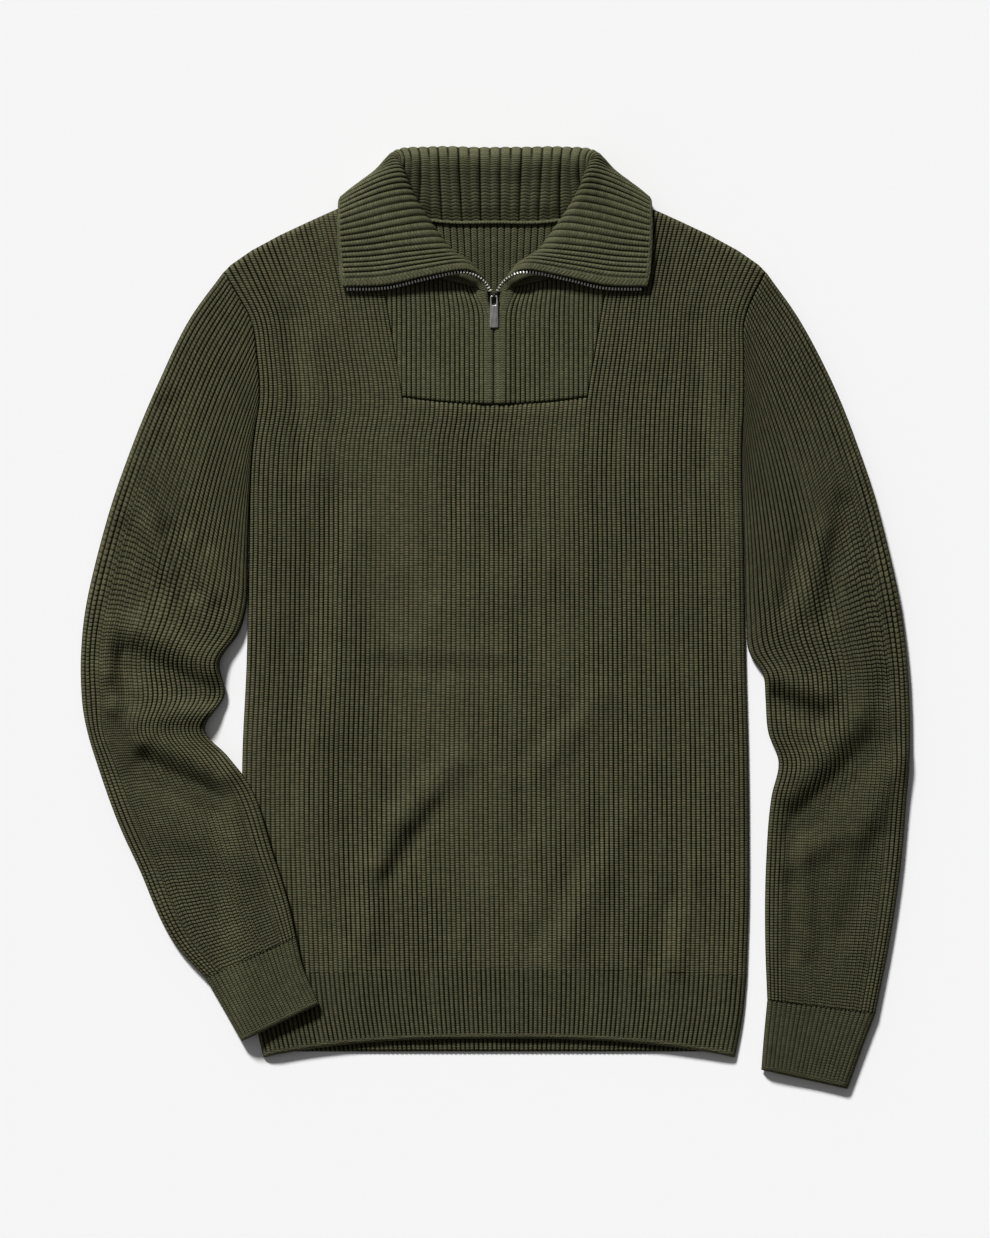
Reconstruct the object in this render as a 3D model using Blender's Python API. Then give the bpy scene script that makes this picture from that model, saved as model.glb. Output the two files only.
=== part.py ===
"""A quarter zip sweater in rib knit, laid out flat on its back.

All tables are in millimetres: X to the right as it lies face up, Y towards the neck, Z up from the
table. The origin lies on the back panel's flat underside, in the middle of the body.
"""
import math

import bmesh
import bpy
import numpy as np

MM = 0.001  # table units to metres

# ---- cloth ------------------------------------------------------------------------------------
WALL = 2.3           # thickness of one layer of rib knit
RIB_RISE = 0.8       # how far a rib stands above its groove
GAP = 0.35           # clearance between sewn pieces and between layers
AIR = 1.2            # the front stands this much higher over the back, away from its sides
AIR_RUN = 14.0       # growing over this width from the side
NECK_EASE = 0.4      # further clearance where the collar lifts the layers
SEAM = 0.5           # clearance across the curved armhole seam
NECK_SEAM = 1.3      # clearance along the curved neck seam
ROLL_INSET = 2.6     # the rolled side edge: where its inner face stands
BACK_INSET = 3.4     # the back panel's edge inside that roll
EDGE_DROP = 0.92 * WALL + GAP   # the front's side edge lies this much lower than its face
EDGE_SOFT = 0.5 * RIB_RISE      # and the column beside it this much
EDGE_FOOT = 0.5      # the foot of the rolled edge stands this far in
SHOULDER_SHARE = 0.75   # the shoulder's rolled edge keeps this share of the front's height
LOWEST_FOLD = -1.0   # a trough in the front goes no deeper

# ---- rib counts -------------------------------------------------------------------------------
BODY_RIBS = 105      # across the chest, 3.8 mm each
YOKE_RIBS = (31, 71)  # body ribs that end at the yoke's two lower corners
SLEEVE_RIBS = 30     # across a flat sleeve
CUFF_RIBS = 22       # across a flat cuff
YOKE_RIB = 3.76      # width of a yoke rib
COLLAR_RIBS = 71     # round the collar, from zip edge to zip edge

# ---- yoke, neck and zip -----------------------------------------------------------------------
YOKE_FOOT_Y = 178.0  # the yoke's lower corners
YOKE_FOOT_X = 74.0
YOKE_TIP = 6.0       # the yoke's upper corner lies this far inside the neck point
YOKE_DIP = 6.0       # its lower edge sags this far at the middle
YOKE_ROWS = (0.0, 0.4, 0.8, 0.885, 1.0)   # where its rows lie, from foot to neck seam
YOKE_EASE_Y = (250.0, 265.0)  # the neck ease grows between these two heights
NECK_POINT = (100.0, 334.0)   # where shoulder, yoke and neck seam meet
SHOULDER_RISE = 56.0  # from the shoulder tip up to the neck point
FALL_LIFT = 3.0      # the collar's fall lies under the back neck and lifts it
LIFT_Y = (272.0, 300.0)       # the lift grows between these two heights
LIFT_X = (126.0, 150.0)       # and fades out between these two widths
ZIP_X = -0.8         # the closed zip's line
ZIP_STRIP = 8.0      # plain strip of the yoke on each side of the zip
STRIP_MIDDLE = 4.0   # the strip's middle column, from the zip line
ZIP_HALF = 0.25      # half the gap between the closed strips
# how far the strip's edge and middle stand from the zip in the two rows beside the slider
STRIP_OPEN = ((3.9, 4.6), (6.4, 7.0))
ZIP_RISE = 1.4       # the tape under the strips raises them
ZIP_RISE_X = (18.0, 10.0)     # from nothing at the first width to all of it at the second
SLIDER_Y = 257.0     # middle of the slider
SLIDER_HALF = 2.5    # half its width
SLIDER_Z = (4.2, 8.0)         # its underside and its face
# its outline: share of the half-width, y from the slider's middle
SLIDER_PLAN = [(-1, 4.2), (1, 4.2), (1, 0.4), (0.82, -4.2), (-0.82, -4.2), (-1, 0.4)]
SLIDER_BEVEL = 0.5
PIN_Y = 258.0        # the pull tab's hinge line
PIN_Z = 10.2
# the bail's profile and the eye in it: y and z from the hinge line
BAIL_PROFILE = [(-2.6, -2.7), (3.4, -2.7), (3.2, -0.6), (1.6, 1.9), (-1.2, 1.9), (-2.4, 0.9)]
BAIL_EYE = [(-1.4, -1.3), (2.0, -1.3), (1.3, 1.0), (-0.9, 1.0), (-1.4, 0.5)]
BAIL_WIDTH = 1.7

# ---- the body's outline -----------------------------------------------------------------------
# y: height of the row at both ends, left and right: its ends, arch: how much of the shoulder's
# rise the row has, roll: 1 where the front rolls over the side, inset: 1 where the back stands in
BODY_COLUMNS = ("y", "left", "right", "arch", "roll", "inset")
BODY_ROWS = [
    (-281, -197.5, 201.5, 0.00, 1, 1),
    (-230, -200.4, 203.3, 0.00, 1, 1),
    (-175, -202.6, 203.5, 0.00, 1, 1),
    (-110, -202.4, 202.9, 0.00, 1, 1),
    (-35, -199.0, 201.0, 0.00, 1, 1),
    (50, -197.3, 199.7, 0.00, 1, 1),
    (140, -194.5, 198.3, 0.00, 1, 1),
    (178, -188.6, 199.4, 0.00, 0, 1),
    (210, -190.4, 199.4, 0.19, 0, 0),
    (240, -195.6, 200.0, 0.45, 0, 0),
    (260, -206.5, 207.5, 0.74, 0, 0),
    (278, -217.2, 216.8, 1.00, 0, 0),
]
# along: fraction of the way from the shoulder tip to the neck point, rise: fraction of the climb
SHOULDER_PROFILE = [(0, 0), (0.046, 0.10), (0.19, 0.31), (0.385, 0.53), (0.60, 0.74), (0.786, 0.91), (1, 1)]
# y, left and right ends of the hem band; the lower edge bows up in the middle
HEM_ROWS = [(-281, -197.4, 201.5), (-316, -193.0, 198.4), (-351, -185.6, 192.4)]
HEM_LINE = (-280.0, -6.0)     # where the band starts: at the middle, and how far its ends drop
HEM_BOW = 15.0       # the front band's lower edge at the middle, above its corners
BACK_HEM_Y = -346.5  # the back band's lower edge

# ---- folds: soft ridges (+) and troughs (-), from one end to the other ------------------------
# x and y of its two ends, spread: its half-width, rise: its height
BODY_FOLDS = [
    (-134, 80, -158, -60, 15, -1.2),
    (-158, -60, -164, -150, 13, -1.0),
    (-112, 60, -132, -80, 16, 1.6),
    (-40, -120, -90, -180, 12, 2.6),
    (-90, -180, -100, -245, 10, 1.8),
    (-62, -160, -92, -225, 8, -0.8),
    (85, -60, 38, -130, 13, 1.8),
    (78, -175, 50, -250, 9, -0.9),
    (108, -150, 82, -250, 12, 2.2),
    (142, -230, 126, -275, 8, -0.9),
    (-90, -34, 0, -34, 7, 1.2),
]
LEFT_SLEEVE_FOLDS = [
    (-308, -18, -302, -68, 8, 2.0),
    (-302, -68, -272, -112, 8, 1.8),
    (-262, -36, -226, -52, 8, -2.4),
    (-268, -115, -216, -136, 8, -2.4),
    (-240, -72, -218, -78, 7, 1.2),
    (-300, 160, -262, 40, 10, 1.2),
    (-262, 170, -232, 60, 9, -1.4),
]
RIGHT_SLEEVE_FOLDS = [
    (264, -35, 242, -70, 9, -2.4),
    (290, -118, 234, -152, 9, -2.4),
    (296, -60, 246, -112, 9, 2.0),
    (238, -148, 236, -265, 7, -1.0),
    (262, 60, 248, 10, 9, 1.6),
    (296, 120, 322, 20, 10, 1.0),
]

# ---- sleeves: each row runs from the outer fold to the inner one ------------------------------
# outer x and y, inner x and y, bulge: share of the armhole's curve, height of the flat tube
LEFT_SLEEVE = [
    (-247.0, 236.0, -198.0, 103.0, 0.55, 7.0),
    (-270.0, 188.0, -199.2, 72.0, 0.25, 8.0),
    (-290.0, 140.0, -199.4, 40.0, 0.08, 8.6),
    (-310.0, 82.0, -200.0, 12.0, 0.0, 8.6),
    (-326.5, 16.0, -206.5, -11.0, 0.0, 8.8),
    (-331.5, -28.5, -220.4, -35.0, 0.0, 9.0),
    (-330.8, -64.0, -216.4, -60.5, 0.0, 9.0),
    (-326.0, -92.0, -232.4, -89.0, 0.0, 9.0),
    (-318.5, -116.5, -214.0, -109.5, 0.0, 8.8),
    (-307.5, -148.5, -197.2, -131.0, 0.0, 8.6),
    (-286.5, -196.5, -177.0, -188.0, 0.0, 8.4),
    (-253.5, -264.0, -163.0, -235.0, 0.0, 8.4),
    (-231.8, -287.5, -159.0, -254.5, 0.0, 8.4),
]
LEFT_CUFF = [
    (-231.4, -288.2, -158.6, -255.0, 0.0, 8.0),
    (-218.0, -311.5, -153.0, -279.0, 0.0, 8.0),
    (-202.8, -338.0, -140.4, -308.0, 0.0, 7.6),
]
RIGHT_SLEEVE = [
    (246.0, 236.0, 200.0, 103.0, 0.55, 7.0),
    (270.8, 188.0, 200.6, 72.0, 0.25, 8.0),
    (290.0, 140.0, 201.2, 38.0, 0.08, 8.6),
    (309.0, 80.0, 201.8, -2.0, 0.0, 8.6),
    (325.0, 8.0, 204.0, -28.0, 0.0, 8.8),
    (330.2, -36.0, 214.8, -45.0, 0.0, 9.0),
    (331.8, -64.0, 216.6, -64.5, 0.0, 9.0),
    (332.4, -92.0, 218.8, -91.0, 0.0, 9.0),
    (331.8, -116.5, 227.0, -114.0, 0.0, 9.0),
    (329.5, -144.5, 221.4, -142.0, 0.0, 8.8),
    (325.0, -196.5, 217.0, -196.5, 0.0, 8.4),
    (315.0, -264.0, 216.4, -260.5, 0.0, 8.4),
    (304.6, -316.0, 218.0, -305.0, 0.0, 8.4),
]
RIGHT_CUFF = [
    (304.2, -317.0, 218.0, -306.0, 0.0, 8.0),
    (293.6, -345.0, 215.2, -335.0, 0.0, 8.0),
    (282.4, -376.4, 213.2, -361.0, 0.0, 7.6),
]
EDGE_ROLL = 6.0      # the flat tube's folded edges round off over this width
EDGE_LEVEL = 0.45    # and lie at this share of its height
OVER_BODY = 7.6      # the left sleeve climbs this high where it crosses the body
CLIMB_RUN = 24.0     # over this width beside the body's edge
CLIMB_Y = (-85.0, -115.0)     # from nothing at the first height to all of it at the second
HOLE_CLEAR = (1.6, 0.8)       # the armhole row stands off by these shares of its clearance
INSIDE_AIR = 0.12    # between a sleeve's two layers where it is flattest

# ---- collar -----------------------------------------------------------------------------------
# One row for each section, from the zip edge to the middle of the back. rib: which rib it follows.
# Then x, y, z of seven points through the cloth: neck seam, stand, fold, crest, middle of the
# fall, near its edge, and its free edge.
COLLAR_PLACES = ("seam", "stand", "fold", "crest", "fall", "near_edge", "edge")
COLLAR_SECTIONS = [
    (0, (-4.8, 263.6, 6.2), (-6.8, 267.0, 8.4), (-11, 272, 11.5), (-25, 277.2, 15.5),
     (-55.6, 271.6, 14), (-87.6, 264.4, 12), (-121.2, 263.6, 11)),
    (2, (-22.8, 267.6, 5.9), (-15.6, 274, 7.4), (-16.4, 280.4, 11), (-29.2, 284.4, 16),
     (-59.6, 279.6, 15), (-91.6, 274, 13), (-123.6, 272.4, 11.8)),
    (6, (-50.8, 274.8, 5.2), (-37.2, 287.6, 6.6), (-35.2, 294, 11), (-45.2, 295.6, 17),
     (-71.6, 293.2, 16), (-98, 290, 14), (-125.2, 288.4, 12.8)),
    (10.5, (-79.6, 290.8, 7.0), (-56.4, 310, 9.0), (-52.4, 316.4, 13.5), (-59.6, 319.6, 19),
     (-81.2, 316.4, 18), (-103.6, 311.6, 16.4), (-126, 307.6, 14.2)),
    (14.5, (-93.5, 312.0, 8.2), (-74, 330.8, 11), (-66, 337.2, 17), (-70.8, 341.2, 22),
     (-86.8, 338.8, 20), (-106.8, 332.4, 17), (-125.6, 324.4, 14)),
    (19, (-97.5, 327.5, 7.4), (-80.4, 346.8, 12.5), (-73.2, 354, 20), (-77.2, 359.6, 24.5),
     (-91.6, 355.6, 19), (-110, 345.6, 12), (-124.0, 335.5, 6.5)),
    (21, (-95.5, 329.5, 5.8), (-80, 350, 13.5), (-74.5, 359, 21.5), (-79.5, 364.5, 23.5),
     (-91.5, 359, 15), (-107, 348.5, 4.5), (-121, 335.0, 1.5)),
    (23, (-92, 330.5, 4.5), (-80.4, 351.6, 14), (-76.4, 363.6, 22), (-82, 368.6, 21),
     (-92, 360.4, 10), (-102.8, 348.6, 1.4), (-114, 324.0, 1.15)),
    (26, (-82, 326.0, 4.4), (-74, 348.4, 14.5), (-72, 366, 22.5), (-74.8, 372.6, 19),
     (-77.2, 373, 9), (-81.2, 362.8, 1.3), (-93.2, 319.0, 1.15)),
    (29, (-51.6, 320.0, 4.4), (-51.6, 346.8, 15), (-52.4, 367.6, 23), (-53.6, 374.4, 18),
     (-54, 374.6, 8), (-54, 363.6, 1.25), (-55.6, 314.8, 1.15)),
    (35.5, (0, 318.35, 4.4), (0, 346, 15), (0, 366.8, 23), (0, 374, 18),
     (0, 374, 8), (0, 362.8, 1.25), (0, 312.4, 1.15)),
]
HPS_RIB = 19         # the collar's rib at the high point of the shoulder
COLLAR_PLAIN = 1.5   # ribs left plain beside the zip
COLLAR_ROWS = [0, 0.8, 1.5, 2.1, 2.7, 3.3, 4.0, 5.0, 6.0]   # where the mesh reads a section
COLLAR_REST = (1.2, 2.0)      # the rib dies out between these heights, where the fall rests
COLLAR_SEAM_PLAIN = 0.8       # and between the neck seam and this place

# ---- zip --------------------------------------------------------------------------------------
TAPE_OUT = 2.6       # tape beyond the cloth's edge
TAPE_IN = 5.0        # and under it
TAPE_THICK = 0.8
TAPE_ENDS = (0.15, 5.93)
TAPE_TURN = (0.9, 2.1)       # between these places it turns round the cloth's edge
TURN_CLEAR = 1.0             # and stands this far outside it
TAPE_START = 0.5             # half its width where it leaves the slider
TAPE_SPREAD = 4.0            # from this place on it has its full width
# behind the placket: height, and how far the tape's edge stands from the zip line
TAPE_ROWS = [(173.0, 0.25), (215.0, 0.25), (244.6, 0.25), (251.1, 2.85)]
PULL_LENGTH = 25.0
PULL_WIDTH = (6.2, 7.2)      # at the hinge and at the tip
PULL_THICK = 1.3
PULL_SLOT = (3.6, 7.0)       # width of its slot, and how far down it reaches
PULL_CORNER = (0.7, 1.0)     # its lower corners are cut off by this much, across and along
PULL_BEVEL = 0.25
PULL_TILT = math.radians(3.5)
PIN_THICK = 1.1

CLOTH = (0.052, 0.050, 0.026)
TAPE_CLOTH = (0.012, 0.012, 0.010)
DARK_METAL = (0.10, 0.10, 0.10)
BRUSHED_METAL = (0.24, 0.24, 0.22)


# ---- small mathematics ------------------------------------------------------------------------
def smooth(value):
    """0 below 0, 1 above 1, and a soft step between."""
    t = np.clip(value, 0.0, 1.0)
    return t * t * (3.0 - 2.0 * t)


def through(knots, rows, at):
    """A smooth curve through rows given at increasing knots, read at the values in at."""
    knots = np.asarray(knots, float)
    rows = np.asarray(rows, float)
    slopes = np.gradient(rows, knots, axis=0)
    at = np.asarray(at, float)
    i = np.clip(np.searchsorted(knots, at, side="right") - 1, 0, len(knots) - 2)
    span = knots[i + 1] - knots[i]
    t = (at - knots[i]) / span
    shape = t.shape + (1,) * (rows.ndim - 1)
    t = t.reshape(shape)
    span = span.reshape(shape)
    start = rows[i] * (1 + 2 * t) * (1 - t) ** 2 + slopes[i] * span * t * (1 - t) ** 2
    end = rows[i + 1] * t * t * (3 - 2 * t) - slopes[i + 1] * span * t * t * (1 - t)
    return start + end


def fold_rise(x, y, folds):
    """Height that the folds add at each point."""
    total = np.zeros_like(x, dtype=float)
    for x0, y0, x1, y1, spread, rise in folds:
        length2 = (x1 - x0) ** 2 + (y1 - y0) ** 2
        along = np.clip(((x - x0) * (x1 - x0) + (y - y0) * (y1 - y0)) / length2, 0, 1)
        off2 = (x - x0 - along * (x1 - x0)) ** 2 + (y - y0 - along * (y1 - y0)) ** 2
        total = total + rise * np.exp(-off2 / (spread * spread))
    return total


def zigzag(ribs):
    """Rib height at each column edge and middle: 0 in a groove, 1 on a rib."""
    return np.arange(2 * ribs + 1) % 2


def neck_lift(x, y):
    """How far the collar's fall, lying under the back neck, lifts the body."""
    up = smooth((y - LIFT_Y[0]) / (LIFT_Y[1] - LIFT_Y[0]))
    wide = smooth((LIFT_X[1] - np.abs(x)) / (LIFT_X[1] - LIFT_X[0]))
    return FALL_LIFT * up * wide


# ---- mesh helpers -----------------------------------------------------------------------------
class Cloth:
    """Collects the points and faces of one closed piece."""

    def __init__(self):
        self.points = []
        self.faces = []

    def grid(self, points, closed=False):
        """Add a grid of points (rows, columns, 3) with its faces, and return their numbers."""
        rows, columns = points.shape[:2]
        ids = np.arange(rows * columns).reshape(rows, columns) + len(self.points)
        self.points.extend(points.reshape(-1, 3).tolist())
        self.skin(ids, closed)
        return ids

    def skin(self, ids, closed=False):
        """Faces between neighbouring rows; a cell with a missing corner (-1) stays open."""
        last = ids.shape[1] if closed else ids.shape[1] - 1
        for r in range(ids.shape[0] - 1):
            for c in range(last):
                n = (c + 1) % ids.shape[1]
                cell = (ids[r, c], ids[r, n], ids[r + 1, n], ids[r + 1, c])
                if min(cell) >= 0:
                    self.faces.append(tuple(int(k) for k in cell))

    def bridge(self, first, second):
        """Triangles between two lines of points with different counts, by the shorter diagonal."""
        place = {int(k): np.array(self.points[int(k)]) for line in (first, second) for k in line}
        first, second = [int(k) for k in first], [int(k) for k in second]
        a, b = 0, 0
        while a < len(first) - 1 or b < len(second) - 1:
            along_first = along_second = math.inf
            if a < len(first) - 1:
                along_first = np.linalg.norm(place[first[a + 1]] - place[second[b]])
            if b < len(second) - 1:
                along_second = np.linalg.norm(place[first[a]] - place[second[b + 1]])
            if along_first <= along_second:
                self.faces.append((first[a], first[a + 1], second[b]))
                a += 1
            else:
                self.faces.append((first[a], second[b + 1], second[b]))
                b += 1

    def finish(self, name, material):
        """Make the object, with its faces turned outward."""
        mesh = bpy.data.meshes.new(name)
        mesh.from_pydata([tuple(c * MM for c in p) for p in self.points], [], self.faces)
        work = bmesh.new()
        work.from_mesh(mesh)
        bmesh.ops.recalc_face_normals(work, faces=work.faces)
        work.to_mesh(mesh)
        work.free()
        mesh.materials.append(material)
        piece = bpy.data.objects.new(name, mesh)
        bpy.context.scene.collection.objects.link(piece)
        return piece


def finish_material(name, colour, roughness, metallic):
    material = bpy.data.materials.new(name)
    material.use_nodes = True
    shader = material.node_tree.nodes["Principled BSDF"]
    shader.inputs["Base Color"].default_value = (*colour, 1.0)
    shader.inputs["Roughness"].default_value = roughness
    shader.inputs["Metallic"].default_value = metallic
    material.diffuse_color = (*colour, 1.0)
    return material


def knit(name):
    return finish_material("rib knit " + name, CLOTH, 0.92, 0.0)


# ---- the body's surface -----------------------------------------------------------------------
def body_rows():
    """The body's rows as one dictionary of columns."""
    return {name: np.array(values, float) for name, values in zip(BODY_COLUMNS, zip(*BODY_ROWS))}


def shoulder_rise(along):
    steps, rises = zip(*SHOULDER_PROFILE)
    return SHOULDER_RISE * np.interp(along, steps, rises)


def hem_line(x):
    """Where the hem band starts."""
    return HEM_LINE[0] + HEM_LINE[1] * (x / 200.0) ** 2


def back_neck(x):
    """The back panel's neck edge, just below the collar's seam."""
    return neck_seam(x, HPS_RIB, COLLAR_RIBS / 2) - NECK_SEAM


def yoke_foot(x):
    """The yoke's lower edge."""
    return YOKE_FOOT_Y - YOKE_DIP * (1 - np.clip(np.abs(x) / YOKE_FOOT_X, 0, 1) ** 2)


def yoke_side(y):
    """Half-width of the yoke at a height."""
    share = (y - YOKE_FOOT_Y) / (NECK_POINT[1] - YOKE_FOOT_Y)
    return YOKE_FOOT_X + share * (NECK_POINT[0] - YOKE_FOOT_X)


def body_plan(ribs):
    """x and y for every body row at the given rib numbers, over the yoke too."""
    table = body_rows()
    low, high = YOKE_RIBS
    rib = np.asarray(ribs, float)
    body = np.zeros((len(table["y"]), len(rib), 2))
    for r, y in enumerate(table["y"]):
        left, right, arch = table["left"][r], table["right"][r], table["arch"][r]
        side_y = y + arch * SHOULDER_RISE
        inner = yoke_side(side_y)
        x = np.interp(rib, (0, low, high, BODY_RIBS), (left, -inner, inner, right))
        if y < YOKE_FOOT_Y:
            x = left + rib / BODY_RIBS * (right - left)
        along = np.clip(np.minimum(rib / low, (BODY_RIBS - rib) / (BODY_RIBS - high)), 0, 1)
        rows_y = y + arch * shoulder_rise(along)
        middle = (rib > low) & (rib < high)
        if y >= YOKE_FOOT_Y:
            share = (side_y - YOKE_FOOT_Y) / (NECK_POINT[1] - YOKE_FOOT_Y)
            over = yoke_foot(x) + share * (back_neck(x) - yoke_foot(x))
            rows_y = np.where(middle, over, rows_y)
        body[r, :, 0] = x
        body[r, :, 1] = rows_y
    body[0, :, 1] = hem_line(body[0, :, 0])
    return body


def front_level(x, y):
    """Height of the front's grooves above the table."""
    inside = np.minimum(x - body_edge(-1, y), body_edge(1, y) - x)
    air = AIR * smooth(inside / AIR_RUN)
    near_neck = smooth((y - YOKE_EASE_Y[0]) / (YOKE_EASE_Y[1] - YOKE_EASE_Y[0]))
    ease = NECK_EASE * near_neck * smooth((LIFT_X[1] - np.abs(x)) / (LIFT_X[1] - LIFT_X[0]))
    folds = np.maximum(fold_rise(x, y, BODY_FOLDS), LOWEST_FOLD) * smooth(inside / AIR_RUN)
    return WALL + GAP + WALL + neck_lift(x, y) + ease + air + folds


def armhole(side, share):
    """A point on the armhole, from the shoulder tip (0) to the underarm (1)."""
    table = body_rows()
    rows = [r for r in range(len(table["y"])) if table["y"][r] >= 140]
    x = table["left" if side < 0 else "right"][rows][::-1]
    y = table["y"][rows][::-1]
    return np.stack([np.interp(share, np.linspace(0, 1, len(x)), x),
                     np.interp(share, np.linspace(0, 1, len(y)), y)], -1)


def body_edge(side, y):
    """The body's side edge at a height."""
    table = body_rows()
    name = "left" if side < 0 else "right"
    heights = np.concatenate([[row[0] for row in HEM_ROWS[:0:-1]], table["y"]])
    edges = np.concatenate([[row[1 if side < 0 else 2] for row in HEM_ROWS[:0:-1]], table[name]])
    return np.interp(y, heights, edges)


# ---- front and hem band -----------------------------------------------------------------------
def rolled_sheet(plan, level, ribs_up, roll, top_roll, inner_columns):
    """Outer and inner grids of a body sheet whose sides, and maybe top, roll down to the table.

    plan is (rows, columns, 2), level the groove height, roll is 1 for a row that rolls at its ends.
    """
    x, y = plan[..., 0], plan[..., 1]
    base = neck_lift(x, y)
    top = level + RIB_RISE * ribs_up
    roll = roll[:, None]
    for column, drop in ((0, EDGE_DROP), (-1, EDGE_DROP), (1, EDGE_SOFT), (-2, EDGE_SOFT)):
        top[:, column] -= drop * roll[:, 0]
    if top_roll:
        top[-1] = base[-1] + SHOULDER_SHARE * (level[-1] - base[-1])
    outer = np.stack([x, y, top], -1)
    inner_x = x[:, inner_columns].copy()
    inner_y = y[:, inner_columns].copy()
    inner_x[:, 0] += ROLL_INSET * roll[:, 0]
    inner_x[:, -1] -= ROLL_INSET * roll[:, 0]
    if top_roll:
        inner_y[-1] -= ROLL_INSET
    inner = np.stack([inner_x, inner_y, level[:, inner_columns] - WALL], -1)

    def skirt(grid, inset, lifted):
        """A further column at each side: on the table where the edge rolls."""
        sides = []
        for column, sign in ((0, 1), (-1, -1)):
            edge = grid[:, column].copy()
            edge[:, 0] += sign * inset * roll[:, 0]
            under = neck_lift(edge[:, 0], edge[:, 1])
            edge[:, 2] = under * roll[:, 0] + (1 - roll[:, 0]) * (WALL + GAP + under + lifted)
            sides.append(edge[:, None])
        return np.concatenate([sides[0], grid, sides[1]], 1)

    outer = skirt(outer, EDGE_FOOT, RIB_RISE)
    inner = skirt(inner, 0.0, 0.0)
    if top_roll:
        outer = np.concatenate([outer, hang(outer[-1], EDGE_FOOT)[None]])
        inner = np.concatenate([inner, hang(inner[-1], 0.0)[None]])
    return outer, inner


def hang(row, inset):
    """The top row again, lower down at the back panel's level."""
    hung = row.copy()
    hung[:, 1] -= inset
    hung[:, 2] = neck_lift(hung[:, 0], hung[:, 1])
    return hung


def notch_sides(ids, low, high, foot):
    """The boundary of a sheet with a notch between two columns above the row foot."""
    top = ids.shape[0] - 1
    return [ids[0, :], ids[:, -1], ids[top, high:][::-1], ids[foot:, high][::-1],
            ids[foot, low:high + 1][::-1], ids[foot:, low], ids[top, :low + 1][::-1], ids[::-1, 0]]


def make_front():
    """The front panel: vertical ribs, folds, rolled sides and shoulders, notched for the yoke."""
    low, high = YOKE_RIBS
    table = body_rows()
    ribs = np.arange(2 * BODY_RIBS + 1) / 2
    plan = body_plan(ribs)
    foot = int(np.argmin(np.abs(table["y"] - YOKE_FOOT_Y)))
    plan[foot, 2 * low:2 * high + 1, 1] = yoke_foot(plan[foot, 2 * low:2 * high + 1, 0]) - GAP
    for column, way in ((2 * low, -1), (2 * high, 1)):
        plan[foot:, column, 0] += way * GAP
    spans = ((0, low, 5), (low, high, 7), (high, BODY_RIBS, 5))
    parts = [np.linspace(2 * first, 2 * last, count) for first, last, count in spans]
    inner_columns = np.unique(np.concatenate(parts).astype(int))
    level = front_level(plan[..., 0], plan[..., 1])
    outer, inner = rolled_sheet(plan, level, zigzag(BODY_RIBS)[None, :], table["roll"], True,
                                inner_columns)
    inner_low, inner_high = np.searchsorted(inner_columns, (2 * low, 2 * high))

    cloth = Cloth()
    sides = []
    for grid, first, last in ((outer, 2 * low + 1, 2 * high + 1), (inner, inner_low + 1, inner_high + 1)):
        ids = np.arange(grid.shape[0] * grid.shape[1]).reshape(grid.shape[:2])
        keep = np.ones(ids.shape, bool)
        keep[foot + 1:, first + 1:last] = False
        numbers = np.full(ids.shape, -1)
        numbers[keep] = np.arange(keep.sum()) + len(cloth.points)
        cloth.points.extend(grid[keep].tolist())
        cloth.skin(numbers)
        sides.append(notch_sides(numbers, first, last, foot))
    for outer_side, inner_side in zip(*sides):
        cloth.bridge(outer_side, inner_side)
    return cloth.finish("front", knit("front"))


def hem_plan(ribs):
    """x and y of the hem band's rows at the given rib numbers."""
    rows = np.zeros((len(HEM_ROWS), len(ribs), 2))
    for r, (y, left, right) in enumerate(HEM_ROWS):
        share = np.asarray(ribs) / BODY_RIBS
        x = left + share * (right - left)
        across = np.abs(2 * share - 1)
        bow = HEM_BOW * (1 - across ** 2.6) * r / (len(HEM_ROWS) - 1)
        rows[r] = np.stack([x, y + bow], -1)
    rows[0, :, 1] = hem_line(rows[0, :, 0]) - GAP
    return rows


def make_hem_front():
    """The front hem band: the body's ribs carried on, with a bowed lower edge."""
    ribs = np.arange(2 * BODY_RIBS + 1) / 2
    plan = hem_plan(ribs)
    inner_columns = np.linspace(0, 2 * BODY_RIBS, 15).astype(int)
    level = front_level(plan[..., 0], plan[..., 1])
    outer, inner = rolled_sheet(plan, level, zigzag(BODY_RIBS)[None, :], np.ones(len(plan)), False,
                                inner_columns)
    cloth = Cloth()
    sides = []
    for grid in (outer, inner):
        ids = cloth.grid(grid)
        sides.append([ids[0, :], ids[:, -1], ids[-1, ::-1], ids[::-1, 0]])
    for outer_side, inner_side in zip(*sides):
        cloth.bridge(outer_side, inner_side)
    return cloth.finish("hem_front", knit("hem_front"))


# ---- back -------------------------------------------------------------------------------------
def plain_wall(name, plan, underside):
    """A closed wall of plain cloth over a plan grid (rows, columns, 2)."""
    cloth = Cloth()
    lower = cloth.grid(np.concatenate([plan, underside[..., None]], -1))
    upper = cloth.grid(np.concatenate([plan, (underside + WALL)[..., None]], -1))
    for a, b in zip((lower[0, :], lower[:, -1], lower[-1, ::-1], lower[::-1, 0]),
                    (upper[0, :], upper[:, -1], upper[-1, ::-1], upper[::-1, 0])):
        cloth.bridge(a, b)
    return cloth.finish(name, knit(name))


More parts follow.
